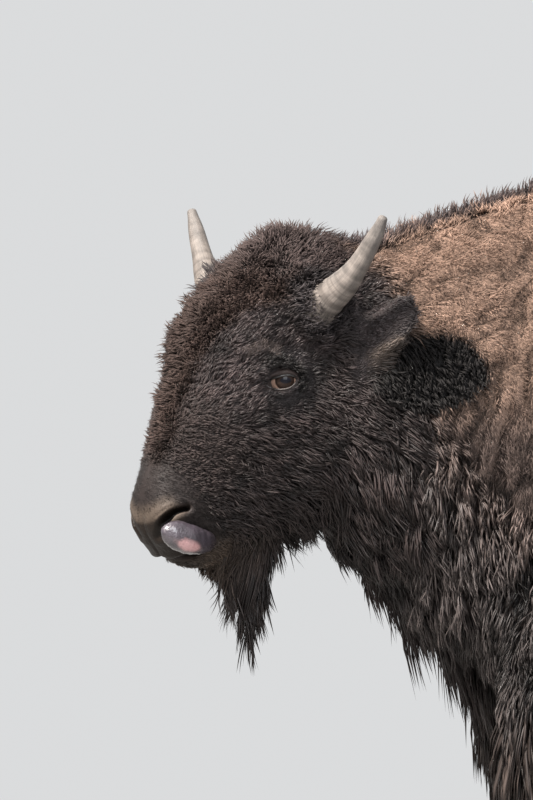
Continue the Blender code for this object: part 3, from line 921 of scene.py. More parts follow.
# each hair: bends, depth, length, width, lift, curl, pull, lock, density, fuzz, ridge, tone, lie
STRETCHES = (
    Stretch("flank", lambda p: np.ones(len(p.points)), Hair(
        0, 0.008, 0.026, 0.0040, 0.14, 0.0, 0.30, 0.022, 36500, 0.13, 0.003,
        (0.140, 0.091, 0.065), (0.05, 0.85, -0.5))),
    Stretch("belly", lambda p: ramp(0.2, -0.5, p.normals[:, 2]) * ramp(0.78, 0.66, p.height), Hair(
        1, 0.012, 0.040, 0.0060, 0.12, 0.25, 0.45, 0.028, 16000, 0.12, 0.0,
        (0.060, 0.042, 0.034), (0.0, 0.8, -0.6))),
    Stretch("cape", lambda p: ramp(0.16, -0.06, p.back), Hair(
        0, 0.014, 0.024, 0.0034, 0.32, 0.0, 0.25, 0.016, 56000, 0.26, 0.007,
        (0.230, 0.148, 0.108), (0.0, 0.50, -0.85))),
    Stretch("neck_right", neck_mask, Hair(
        0, 0.016, 0.016, 0.0030, 0.42, 0.0, 0.20, 0.012, 64000, 0.36, 0.008,
        (0.250, 0.163, 0.122), (0.0, 0.45, -0.85))),
    Stretch("neck_left", lambda p: neck_mask(p) * p.left(), Hair(
        0, 0.014, 0.0120, 0.0019, 0.42, 0.0, 0.10, 0.010, 300000, 0.34, 0.011,
        (0.290, 0.188, 0.140), (0.0, 0.35, -0.90))),
    Stretch("shoulder_shade", shoulder_mask, Hair(
        1, 0.022, 0.034, 0.0038, 0.30, 0.50, 0.40, 0.014, 42000, 0.18, 0.007,
        (0.085, 0.060, 0.052), (0.0, 0.30, -0.95))),
    Stretch("shade_left", lambda p: ramp(1.05, 0.92, p.height) * neck_mask(p) * p.left(), Hair(
        0, 0.016, 0.0160, 0.0019, 0.36, 0.0, 0.15, 0.010, 205000, 0.26, 0.012,
        (0.088, 0.062, 0.053), (0.0, 0.25, -0.95))),
    Stretch("crest", lambda p: ramp(0.10, -0.10, p.back) * ramp(0.90, 0.975, p.normals[:, 2])
            * ramp(1.0, 1.15, p.height), Hair(
        1, 0.022, 0.028, 0.0040, 0.80, 0.60, 0.25, 0.014, 48000, 0.30, 0.0,
        (0.060, 0.043, 0.038), (0.1, 0.8, 0.0))),
    Stretch("crest_front", lambda p: neck_mask(p) * ramp(0.88, 0.965, p.normals[:, 2])
            * ramp(1.0, 1.12, p.height), Hair(
        1, 0.022, 0.020, 0.0019, 0.85, 0.50, 0.15, 0.010, 170000, 0.40, 0.0,
        (0.034, 0.025, 0.025), (0.1, 0.8, 0.0))),
    Stretch("mane", mane_mask, Hair(
        2, 0.030, 0.075, 0.0052, 0.20, 0.45, 0.50, 0.024, 24000, 0.08, 0.006,
        (0.030, 0.023, 0.022), (0.0, 0.15, -1.0))),
    Stretch("mane_left", lambda p: mane_mask(p) * p.left() * ramp(-0.16, -0.26, p.back)
            * ramp(0.56, 0.64, p.height), Hair(
        2, 0.024, 0.036, 0.0020, 0.15, 0.30, 0.35, 0.014, 84000, 0.12, 0.010,
        (0.047, 0.038, 0.036), (0.0, 0.12, -1.0))),
    Stretch("leg", Places.on_leg, Hair(
        0, 0.004, 0.014, 0.0046, 0.10, 0.10, 0.25, 0.012, 37000, 0.08, 0.0,
        (0.034, 0.024, 0.019), (0.0, 0.12, -1.0))),
    Stretch("chaps", lambda p: ramp(0.34, 0.42, p.height) * ramp(0.66, 0.56, p.height)
            * ramp(0.05, -0.05, p.back), Hair(
        2, 0.020, 0.070, 0.0055, 0.18, 0.35, 0.60, 0.026, 22000, 0.08, 0.0,
        (0.030, 0.022, 0.019), (0.0, 0.20, -1.0))),
    Stretch("haunch_fringe", lambda p: ramp(0.40, 0.48, p.height) * ramp(0.74, 0.60, p.height)
            * ramp(0.30, 0.45, p.back), Hair(
        0, 0.006, 0.024, 0.0042, 0.12, 0.0, 0.30, 0.018, 42000, 0.10, 0.0,
        (0.060, 0.040, 0.030), (0.0, 0.25, -1.0))),
    Stretch("tail_dock", Places.on_tail, Hair(
        1, 0.0, 0.020, 0.0040, 0.12, 0.1, 0.3, 0.014, 40000, 0.08, 0.0,
        (0.070, 0.047, 0.036), (0.0, 0.02, -1.0))),
    Stretch("tail_tuft", lambda p: p.on_tail() * ramp(0.78, 0.70, p.height), Hair(
        4, 0.0, 0.110, 0.0045, 0.10, 0.35, 0.5, 0.02, 80000, 0.06, 0.0,
        (0.026, 0.019, 0.017), (0.0, 0.0, -1.0))),
    Stretch("cheek", Places.on_head, Hair(
        2, 0.010, 0.024, 0.0016, 0.22, 0.45, 0.45, 0.012, 131000, 0.18, 0.0,
        (0.0230, 0.0168, 0.0160), (-0.42, 0.10, -0.95)), True),
    Stretch("jaw", lambda p: p.on_head() * ramp(-0.09, -0.16, p.above) * ramp(0.165, 0.12, p.along), Hair(
        2, 0.014, 0.046, 0.0025, 0.22, 0.45, 0.50, 0.018, 76000, 0.12, 0.0,
        (0.0170, 0.0125, 0.0118), (0.20, 0.05, -1.0)), True),
    Stretch("jowl", lambda p: p.on_head() * ramp(-0.045, -0.10, p.along), Hair(
        2, 0.014, 0.034, 0.0018, 0.17, 0.40, 0.40, 0.015, 108000, 0.12, 0.0,
        (0.0180, 0.0130, 0.0122), (0.35, 0.05, -1.0)), True),
    # painted shadow: the left ear's shadow on the neck, as a near-black patch of hair
    Stretch("ear_shade", painted_ear_shadow_mask, Hair(
        1, 0.018, 0.018, 0.0021, 0.30, 0.40, 0.30, 0.012, 110000, 0.30, 0.0,
        (0.0050, 0.0038, 0.0036), (0.0, 0.40, -0.90))),
    Stretch("temple", lambda p: p.on_head() * ramp(-0.020, 0.010, p.above) * ramp(0.150, 0.09, p.along), Hair(
        1, 0.006, 0.016, 0.0015, 0.22, 0.30, 0.30, 0.010, 200000, 0.18, 0.0,
        (0.026, 0.0190, 0.0185), (-0.75, 0.45, 0.10)), True),
    Stretch("bridge", lambda p: p.on_head() * ramp(0.075, 0.13, p.along) * ramp(-0.06, -0.02, p.above), Hair(
        1, 0.006, 0.0115, 0.0015, 0.40, 0.45, 0.25, 0.008, 235000, 0.28, 0.0,
        (0.024, 0.0165, 0.0150), (-0.35, 0.50, -0.20)), True),
    Stretch("forehead", cap_mask, Hair(
        1, 0.017, 0.0150, 0.0016, 0.78, 0.60, 0.15, 0.009, 245000, 0.42, 0.0,
        (0.036, 0.0225, 0.0185), (0.30, 0.35, 0.0)), True),
    Stretch("crown", lambda p: p.on_head() * ramp(0.015, 0.06, p.above) * ramp(-0.06, -0.12, p.along), Hair(
        1, 0.020, 0.0185, 0.0017, 0.85, 0.60, 0.15, 0.011, 200000, 0.42, 0.0,
        (0.040, 0.028, 0.026), (-0.2, 0.3, 0.1)), True),
    Stretch("muzzle", lambda p: p.on_head() * ramp(0.165, 0.205, p.along), Hair(
        0, 0.0020, 0.0085, 0.0013, 0.14, 0.15, 0.20, 0.006, 420000, 0.18, 0.0,
        (0.0200, 0.0150, 0.0140), (-0.25, 0.35, -0.5)), True),
    Stretch("muzzle_fringe", fringe_mask, Hair(
        0, 0.0010, 0.0048, 0.0013, 0.20, 0.15, 0.20, 0.005, 420000, 0.12, 0.0,
        (0.075, 0.057, 0.045), (0.55, 0.3, -0.3)), True),
    Stretch("chin", lambda p: p.on_head() * ramp(0.165, 0.20, p.along) * ramp(-0.080, -0.105, p.above), Hair(
        1, 0.0025, 0.0125, 0.0013, 0.16, 0.20, 0.30, 0.007, 280000, 0.20, 0.0,
        (0.048, 0.034, 0.025), (-0.55, 0.1, -0.8)), True),
    Stretch("chin_tuft", lambda p: p.on_head() * ramp(0.225, 0.19, p.along) * ramp(0.12, 0.15, p.along)
            * ramp(-0.105, -0.130, p.above), Hair(
        2, 0.006, 0.032, 0.0019, 0.10, 0.35, 0.45, 0.014, 130000, 0.12, 0.0,
        (0.030, 0.0215, 0.0175), (0.0, -0.10, -1.0))),
    Stretch("beard", lambda p: ramp(0.060, 0.042, path_distance(p.points, np.array(BEARD_LINE)))
            * ramp(0.83, 0.80, p.height), Hair(
        4, 0.006, 0.058, 0.0026, 0.10, 0.35, 0.55, 0.018, 100000, 0.06, 0.0,
        (0.022, 0.017, 0.016), (0.0, 0.03, -1.0))),
    Stretch("ear", Places.on_ear, Hair(
        1, 0.0020, 0.012, 0.0016, 0.12, 0.20, 0.30, 0.010, 180000, 0.16, 0.0,
        (0.030, 0.0235, 0.0235), (-0.45, 0.85, 0.0)), True),
    Stretch("ear_rim", ear_rim_mask, Hair(
        1, 0.0020, 0.011, 0.0015, 0.12, 0.20, 0.30, 0.008, 200000, 0.16, 0.0,
        (0.080, 0.062, 0.052), (-0.45, 0.85, 0.0)), True),
    Stretch("ear_fringe", lambda p: p.on_ear() * ramp(-0.028, -0.045, p.above + 0.45 * (p.along + 0.124))
            * ramp(0.16, 0.12, p.side), Hair(
        2, 0.0008, 0.034, 0.0024, 0.25, 0.45, 0.50, 0.014, 120000, 0.14, 0.0,
        (0.040, 0.031, 0.028), (-0.05, 0.25, -0.9)), True),
    Stretch("horn_root", lambda p: p.near(HORN_ROOT_LOCAL, 0.040, 0.056), Hair(
        2, 0.022, 0.026, 0.0019, 0.70, 0.50, 0.20, 0.010, 200000, 0.25, 0.0,
        (0.022, 0.0175, 0.0180), (-0.1, 0.9, 0.2)), True),
    Stretch("eye_surround", lambda p: p.near(LIDS_LOCAL, 0.030, 0.050), Hair(
        1, 0.0018, 0.0095, 0.0011, 0.05, 0.15, 0.20, 0.008, 380000, 0.08, 0.0,
        (0.020, 0.0162, 0.0165), (-0.70, 0.35, -0.25)), True),
    # painted shadow: near-black hair in the gap between the horn and the ear, over a real recess
    Stretch("behind_horn", lambda p: p.near(HORN_REAR_LOCAL, 0.012, 0.026), Hair(
        1, 0.0200, 0.016, 0.0018, 0.30, 0.30, 0.20, 0.010, 160000, 0.20, 0.0,
        (0.0050, 0.0038, 0.0035), (-0.1, 0.9, 0.2)), True),
    # painted shade: near-black hair along the hollow above and behind the eye, over a real recess
    Stretch("brow_hollow", lambda p: 0.90 * p.near_line(HOLLOW_LINE, 0.0055, 0.0120), Hair(
        1, 0.0090, 0.010, 0.0012, 0.05, 0.20, 0.20, 0.008, 300000, 0.12, 0.0,
        (0.0040, 0.0030, 0.0028), (-0.70, 0.35, -0.25)), True),
    # painted highlight: a pale line of hair along the brow ridge
    Stretch("brow", lambda p: 0.9 * p.near_line(BROW_LINE, 0.0045, 0.0100), Hair(
        1, 0.0040, 0.015, 0.0013, 0.35, 0.30, 0.30, 0.008, 260000, 0.16, 0.0,
        (0.130, 0.100, 0.090), (-0.75, 0.45, 0.10)), True),
)
BARE_TONE = (0.0092, 0.0062, 0.0046)
LID_TONE = (0.026, 0.0190, 0.0175)


# ---------------------------------------------------------------- the skin
@dataclass(frozen=True)
class EyeShape:
    """The eyeball and the opening between its lids, on axes of its own."""

    radius: float = 0.0205
    front: float = 0.0225
    rear: float = 0.0172
    upper: float = 0.0094
    lower: float = 0.0082
    lid_over: float = 0.0012
    corner_height: float = 0.0125
    gaze: Triple = (0.29, 0.93, 0.28)
    out: Triple = (0.43, 0.875, 0.20)
    rearward: Triple = (-0.845, 0.466, -0.480)

    def axes(self) -> Array:
        """Rearwards, upwards and outwards, as rows in the left side's head frame."""
        out = unit(np.array(self.out))
        rear = np.array(self.rearward)
        rear = unit(rear - out * (rear @ out))
        return np.stack([rear, np.cross(out, rear), out])

    def half_height(self, rearward: Array) -> Array:
        """How open the lids are at a place between the corners, as a share of the widest."""
        reach = np.where(rearward > 0, self.rear, self.front)
        return clipped(1.0 - (rearward / reach) ** 2) ** 0.60

    def outside(self, rearward: Array, upward: Array) -> Array:
        """The distance outside the lids' edge; below 0 between the lids."""
        open_share = self.half_height(rearward)
        upright = np.maximum(upward - self.upper * open_share, -upward - self.lower * open_share)
        reach = np.where(rearward > 0, rearward - self.rear, -rearward - self.front)
        return np.where(reach > 0, np.hypot(np.maximum(reach, 0), upward), upright)

    def edge_height(self, distance: Array) -> Array:
        """How far out the lids' edge lies at a distance from the eyeball's middle line."""
        ball = (self.radius + self.lid_over) ** 2 - distance**2
        return np.sqrt(np.maximum(ball, self.corner_height**2))


@dataclass
class Skin:
    """The one skin that stands for all the flesh, sculpted on the face and thinned by the coat."""

    frame: HeadFrame
    eye: EyeShape
    nodes: dict[str, Piece]
    voxel: float = 0.0088
    overlap: float = 0.0010
    body_rounds: int = 40
    head_rounds: int = 10
    unwrap_angle: float = math.radians(66)
    island_margin: float = 0.002
    piece: Piece = field(init=False)
    marks: dict[str, Array] = field(init=False)

    # the last mark is where painted shade darkens the inside of the nostrils and the mouth's line
    MARKS = ("bare", "hairless", "lid", "deep")
    FREE_OF_HOOVES = (0.066, 0.085)
    FACE_FROM = 0.125
    MUZZLE_FROM = 0.185
    EYE_REACH = 0.068
    # folds beside the eye: height, distance from the lids' edge, width, and where they fade and are full
    UPPER_FOLDS = ((-0.0034, 0.0086, 0.0016, 0.036, 0.026), (0.0016, 0.0045, 0.0026, 0.036, 0.026))
    LOWER_FOLDS = ((0.0020, 0.0062, 0.0026, 0.030, 0.020), (-0.0018, 0.0125, 0.0024, 0.034, 0.024))
    HORN_PLUGS = (((-0.070, 0.070, 0.032), 0.027), ((-0.086, 0.092, 0.044), 0.0265))
    EAR_PLUGS = (
        ((-0.116, 0.113, -0.018), 0.015),
        ((-0.131, 0.131, -0.013), 0.018),
        ((-0.146, 0.152, -0.011), 0.018),
    )
    TONGUE_PLUGS = (
        ((0.150, 0.008, -0.116), 0.018),
        ((0.168, 0.015, -0.112), 0.019),
        ((0.188, 0.022, -0.106), 0.020),
    )
    EAR_FLAT = 0.42
    CORE_POINTS = 24
    TAIL_CORE = (
        (0.0, 0.760, 1.010, 0.026, 0.026),
        (0.0, 0.811, 0.972, 0.024, 0.021),
        (0.0, 0.835, 0.900, 0.016, 0.014),
        (0.0, 0.843, 0.800, 0.012, 0.011),
        (0.0, 0.845, 0.710, 0.011, 0.010),
        (0.0, 0.847, 0.620, 0.008, 0.008),
    )
    BEARD_CORE = (
        (0.067, -0.686, 0.850, 0.032, 0.036),
        (0.068, -0.700, 0.812, 0.030, 0.042),
        (0.070, -0.702, 0.776, 0.022, 0.035),
        (0.073, -0.700, 0.738, 0.014, 0.020),
        (0.075, -0.703, 0.704, 0.009, 0.012),
        (0.076, -0.704, 0.680, 0.005, 0.006),
    )
    CHIN_CORE = (
        (0.236, 0.0, -0.093, 0.020, 0.010),
        (0.226, 0.0, -0.107, 0.026, 0.015),
        (0.208, 0.0, -0.121, 0.030, 0.019),
        (0.182, 0.0, -0.136, 0.033, 0.023),
        (0.150, 0.0, -0.150, 0.033, 0.028),
    )
    BROW_RIDGE = ((-0.050, 0.013, 0.0), (-0.004, 0.033, 0.0))
    BROW_CREASE = ((-0.048, 0.004, 0.0), (-0.008, 0.0225, 0.0))
    NOSTRIL = (
        (0.258, 0.026, -0.040),
        (0.252, 0.035, -0.027),
        (0.240, 0.042, -0.020),
        (0.225, 0.046, -0.019),
        (0.209, 0.048, -0.027),
    )
    NOSTRIL_FLOOR = (0.205, 0.014, -0.050)
    MOUTH = (
        (0.108, 0.070, -0.141),
        (0.150, 0.064, -0.121),
        (0.190, 0.057, -0.108),
        (0.212, 0.050, -0.101),
        (0.232, 0.040, -0.092),
        (0.246, 0.022, -0.083),
        (0.250, 0.000, -0.078),
    )

    def build(self) -> Skin:
        """Makes the skin in its steps and returns it."""
        self.fuse()
        self.thin()
        self.unwrap()
        self.refine()
        self.sculpt()
        self.paint()
        return self

    def places(self) -> Places:
        """The places of the skin's vertices, as they are now."""
        return Places.seen_from(places_of(self.piece.data), normals_of(self.piece.data), self.frame)

    def masses(self) -> list[Piece]:
        """Copies of the flesh, grown until they touch, and plugs for the sockets."""
        flips = [np.array([1.0, sign, 1.0]) for sign in SIDES.values()]
        found = [welded(self.nodes[name].data, name + "_mass", self.overlap) for name in (*FLESH, *EARS)]
        for place, size in (*self.HORN_PLUGS, (EYE_LOCAL, self.eye.radius)):
            found += [self.plug(place * flip, size, np.eye(3)) for flip in flips]
        found += [self.plug(place, size, np.eye(3)) for place, size in self.TONGUE_PLUGS]
        for place, size in self.EAR_PLUGS:
            for flip in flips:
                thin = unit(self.frame.turned(np.array(EAR_THIN) * flip))
                squash = np.eye(3) - (1 - self.EAR_FLAT) * np.outer(thin, thin)
                found.append(self.plug(place * flip, size, squash))
        chin, chin_across = np.array(self.CHIN_CORE), self.frame.turned(LEFT_LOCAL)
        chin[:, :3] = self.frame.place(chin[:, :3])
        for rows, across in ((self.TAIL_CORE, LEFTWARD), (self.BEARD_CORE, LEFTWARD), (chin, chin_across)):
            points, faces = tube(curve_through(rows, self.CORE_POINTS), across, self.CORE_POINTS)
            found.append(new_piece("core", mesh_of("core", points, faces)))
        return found

    def plug(self, local: Array, size: float, squash: Array) -> Piece:
        """A ball, flattened where asked, that fills a socket or rounds out a form."""
        mesh = bpy.data.meshes.new("plug")
        matrix = Matrix.Translation(Vector(self.frame.place(local))) @ Matrix(squash).to_4x4()
        with opened(mesh) as shape:
            bmesh.ops.create_icosphere(shape, subdivisions=3, radius=size, matrix=matrix)
        return new_piece("plug", mesh)

    def fuse(self) -> None:
        """Fuses the masses into one closed surface and evens it."""
        mesh = bpy.data.meshes.new("skin")
        with opened(mesh) as shape:
            for mass in self.masses():
                shape.from_mesh(mass.data)
                bpy.data.objects.remove(mass)
        self.piece = new_piece("skin", mesh)
        mesh = fused(self.piece, self.voxel)
        self.keep_largest()
        points, edges = places_of(mesh), edges_of(mesh)
        fixed = ramp(*self.FREE_OF_HOOVES, points[:, 2])
        places = self.places()
        head, ear = places.on_head(), places.on_ear()
        legs = ramp(0.70, 0.50, points[:, 2]) + ramp(0.78, 0.82, points[:, 1])
        points = evened(points, edges, 0.5 * fixed * (1 - 0.85 * ear), self.head_rounds)
        loose = 0.5 * fixed * (1 - head) * (1 - 0.85 * clipped(legs))
        move_to(mesh, evened(points, edges, loose, self.body_rounds))

    def keep_largest(self) -> None:
        """Removes every loose part of the fused surface but the largest."""
        with opened(self.piece.data) as shape:
            left, parts = set(shape.verts), []
            while left:
                part = [left.pop()]
                for vertex in part:  # the part grows as it is walked
                    touching = {other for link in vertex.link_edges for other in link.verts} & left
                    left -= touching
                    part.extend(touching)
                parts.append(part)
            parts.sort(key=len)
            for part in parts[:-1]:
                bmesh.ops.delete(shape, geom=part, context="VERTS")
        LOG.info("skin: %d loose parts removed", len(parts) - 1)

    def thin(self) -> None:
        """Draws the skin in by the coat's depth."""
        mesh = self.piece.data
        points, edges = places_of(mesh), edges_of(mesh)
        normals = unit(evened(normals_of(mesh), edges, 0.5, 6))
        places = Places.seen_from(points, normals, self.frame)
        coat = Hair.at(places, self.frame)
        depth = (coat.depth + 0.5 * coat.ridge) * ramp(0.060, 0.085, points[:, 2])
        depth *= 1.0 - 0.85 * places.near(HORN_ROOT_LOCAL, 0.040, 0.065)
        points = points - normals * evened(depth[:, None], edges, 0.5, 6)
        move_to(mesh, evened(points, edges, 0.5 * ramp(*self.FREE_OF_HOOVES, points[:, 2]), 3))

    def unwrap(self) -> None:
        """Unwraps the skin's own shape; the coat's tufts take their map places from it."""
        bpy.context.view_layer.objects.active = self.piece
        self.piece.select_set(True)
        bpy.ops.object.mode_set(mode="EDIT")
        bpy.ops.mesh.select_all(action="SELECT")
        bpy.ops.uv.smart_project(angle_limit=self.unwrap_angle, island_margin=self.island_margin)
        bpy.ops.object.mode_set(mode="OBJECT")
        self.piece.select_set(False)
        self.piece.data.uv_layers.active.name = BAKE_MAP

    def refine(self) -> None:
        """Divides the skin's faces finely where the face has folds."""
        mesh = self.piece.data
        zones: tuple[Callable[[Places], Array], ...] = (
            lambda p: p.head_past(self.FACE_FROM) + p.near(LIDS_LOCAL, 0.046, 0.047) + p.on_ear(),
            lambda p: p.head_past(self.MUZZLE_FROM) + p.near(LIDS_LOCAL, 0.038, 0.039),
            lambda p: p.near(LIDS_LOCAL, 0.031, 0.032) + p.near(NOSTRIL_LOCAL, 0.022, 0.023),
        )
        for zone in zones:
            chosen = zone(self.places()) > 0.5
            with opened(mesh) as shape:
                picked = [edge for edge in shape.edges if all(chosen[end.index] for end in edge.verts)]
                bmesh.ops.subdivide_edges(shape, edges=picked, cuts=1, use_grid_fill=True)
            mesh.update()
            places = self.places()
            move_to(mesh, evened(places.points, edges_of(mesh), 0.5 * clipped(zone(places)), 4))

    def sculpt(self) -> None:
        """Shapes the eyelids, brow, nostrils, lips and ears."""
        mesh, places = self.piece.data, self.places()
        sign = np.where(places.head[:, 1] < 0, -1.0, 1.0)
        local, facing = places.head.copy(), places.normals @ self.frame.axes().T
        local[:, 1] *= sign
        facing[:, 1] *= sign
        head = places.on_head()
        self.marks = {name: np.zeros(len(local)) for name in self.MARKS}
        self.shape_eye(local)
        self.shape_nose(local, facing, head)
        self.shape_mouth(local, facing, head)
        self.shape_ear(local, facing)
        local[:, 1] *= sign
        move_to(mesh, self.frame.place(local))
        settle = 0.35 * places.near(LIDS_LOCAL, 0.02, 0.045) + 0.3 * head * (places.along > 0.17)
        move_to(mesh, evened(places_of(mesh), edges_of(mesh), settle, 2))

    def mark(self, **values: Array) -> None:
        """Raises the skin's masks, by name, to some values at least."""
        for name, value in values.items():
            self.marks[name] = np.maximum(self.marks[name], value)

    def shape_eye(self, local: Array) -> None:
        """Lids over the eyeball, an opening behind their edge, a brow and the folds round both."""
        eye, axes = self.eye, self.eye.axes()
        seen = (local - np.array(EYE_LOCAL)) @ axes.T
        near = np.linalg.norm(local - np.array(LIDS_LOCAL), axis=1) < self.EYE_REACH
        rear, up, out = seen[near].T
        distance = np.hypot(rear, up)
        edge = eye.outside(rear, up)
        lid = eye.edge_height(distance)
        ball = np.sqrt(np.maximum((eye.radius + 0.0026) ** 2 - distance**2, 0.0))
        raised = lid + (np.maximum(out, ball) - lid) * ramp(0.0, 0.0060, edge)
        upper, lower = (
            sum(high * hill(edge, *shape) * ramp(fade, full, distance) for high, *shape, fade, full in folds)
            for folds in (self.UPPER_FOLDS, self.LOWER_FOLDS)
        )
        brow = 0.0040 * hill(edge, 0.0165, 0.0055) * ramp(-0.002, 0.012, up)
        flat = np.stack([rear, up, np.zeros(len(rear))], axis=1)
        ridge, crease = (path_distance(flat, np.array(line)) for line in (self.BROW_RIDGE, self.BROW_CREASE))
        brow += 0.0052 * hill(ridge, 0.0, 0.0058) - 0.0036 * hill(crease, 0.0, 0.0028)
        raised += np.where(up > -0.25 * rear, upper + brow, lower)
        sunk = np.minimum(raised, eye.radius - 0.0075)
        height = raised + (sunk - raised) * ramp(-0.0002, -0.0014, edge)
        share = ramp(0.058, 0.044, distance) * ramp(-0.01, 0.0, out)
        seen[near, 2] = out + (height - out) * share
        local[near] = seen[near] @ axes + np.array(EYE_LOCAL)
        lids = np.zeros(len(local))
        lids[near] = np.where(up > 0.25 * rear, ramp(0.0090, 0.0070, edge), ramp(0.0042, 0.0026, edge))
        lids[near] *= ramp(-0.01, 0.0, out)
        self.mark(hairless=lids, lid=lids)

    def shape_nose(self, local: Array, facing: Array, head: Array) -> None:
        """Comma nostrils with raised wings, a bare pad and the groove down its middle."""
        along, side, above = local.T
        squeeze = np.array([1.0, 0.4, 1.0])
        distance = path_distance(local * squeeze, curve_through(np.array(self.NOSTRIL) * squeeze, 13))
        wide = 0.0050 + 0.0022 * ramp(0.215, 0.250, along)
        front = head * (along > 0.17) * (side > 0.008)
        depth = 0.017 * ramp(1.0, 0.25, distance / wide) * front
        inward = unit(np.array(self.NOSTRIL_FLOOR) - local)
        rim = 0.0010 * hill(distance - wide, 0.0045, 0.0034) * front
        groove = 0.0020 * hill(side, 0.0, 0.0022) * ramp(0.235, 0.250, along) * head
        local += inward * depth[:, None] + facing * (rim - groove)[:, None]
        # along, side and above now give the moved places
        pad = head * ramp(0.229, 0.237, along - 0.10 * np.maximum(side - 0.020, 0.0))
        pad *= ramp(-0.011, -0.018, above + 0.12 * np.clip(0.045 - side, 0.0, 0.045))
        pad *= ramp(-0.090, -0.080, above)
        pad *= ramp(0.046, 0.038, side)
        self.mark(
            bare=np.maximum(pad, ramp(1.15, 0.8, distance / wide) * front),
            deep=ramp(0.95, 0.55, distance / wide) * front,
            hairless=np.maximum(pad, ramp(1.5, 1.1, distance / wide) * front),
        )

    def shape_mouth(self, local: Array, facing: Array, head: Array) -> None:
        """The line of the mouth between two rounded lips."""
        squeeze, line = np.array([1.0, 0.6, 1.0]), np.array(self.MOUTH)
        distance = path_distance(local * squeeze, line * squeeze)
        front = head * ramp(0.100, 0.150, local[:, 0])
        crease = 0.015 * ramp(0.0080, 0.0020, distance) * front
        lips = 0.0012 * hill(distance, 0.0095, 0.0042) * front
        drop = np.interp(local[:, 0], line[:, 0], line[:, 2]) - local[:, 2]
        set_back = 0.10 * np.maximum(local[:, 0] - 0.165, 0.0) * ramp(0.0, 0.006, drop) * head
        local += facing * (lips - crease)[:, None]
        local[:, 0] -= set_back
        edges = {"bare": (0.0075, 0.0045), "deep": (0.0080, 0.0045), "hairless": (0.0080, 0.0055)}
        self.mark(**{name: ramp(*ends, distance) * front for name, ends in edges.items()})

    def shape_ear(self, local: Array, facing: Array) -> None:
        """The hollow of each ear, on its lower face."""
        thin = unit(np.array(EAR_THIN))
        distance = path_distance(local, np.array(EAR_LINE) - thin * 0.010)
        under = ramp(-0.2, -0.6, facing @ thin) * ramp(0.100, 0.115, local[:, 1])
        local += thin * (0.003 * ramp(0.034, 0.012, distance) * under)[:, None]

    def paint(self) -> None:
        """Gives the skin its tones, and marks where the nose is bare."""
        places = self.places()
        coat = Hair.at(places, self.frame)
        bare, hairless, lid, deep = (clipped(self.marks[name])[:, None] for name in self.MARKS)
        # painted shade: the skin under the coat is darker than the hair's tone, darker still under wool, so
        # the gaps between tufts read as shadow
        wool = ramp(0.10, 0.40, coat.fuzz)[:, None] * (1 - hairless)
        tone = coat.tone * (0.62 - 0.16 * wool + 0.30 * hairless)
        tone += bare * (np.array(BARE_TONE) - tone)
        tone += lid * (np.array(LID_TONE) - tone)
        # painted shade: darker inside the nostrils and along the mouth's line
        tone *= 1.0 - 0.75 * deep
        store(self.piece.data, tone=tone, bare=clipped(self.marks["bare"] * (places.along > 0.2)))
        self.piece.data.shade_smooth()

    def dress(self, palette: Palette) -> None:
        """Gives the skin its material and its place in the frame."""
        finish_piece(self.piece, palette.skin, "head_coat", *FLESH, *EARS, "beard", "tail")


# ---------------------------------------------------------------- the coat
class Kind(Enum):
    """How finely a tuft of hair can bend: its number of inner rings."""

    STUB = 0
    SHORT = 1
    WOOL = 2
    LONG = 4

    @property
    def triangles(self) -> int:
        """How many triangles a three-sided tuft has: its root, its rings and its tip."""
        return 1 + 6 * self.value + 3


class Region(Enum):
    """Which part of the animal a piece of coat grows on; it goes into the piece's name."""

    HEAD = "head_coat"
    BODY = "body_coat"
    LEG = "leg_coat"


@dataclass(frozen=True)
class Roots:
    """Where tufts grow, and the vectors that bend each of them."""

    points: Array
    vectors: dict[str, Array]
    tone: Array
    gloss: Array

    def part(self, chosen: Array) -> Roots:
        """Some of the roots."""
        vectors = {name: rows[chosen] for name, rows in self.vectors.items()}
        return Roots(self.points[chosen], vectors, self.tone[chosen], self.gloss[chosen])


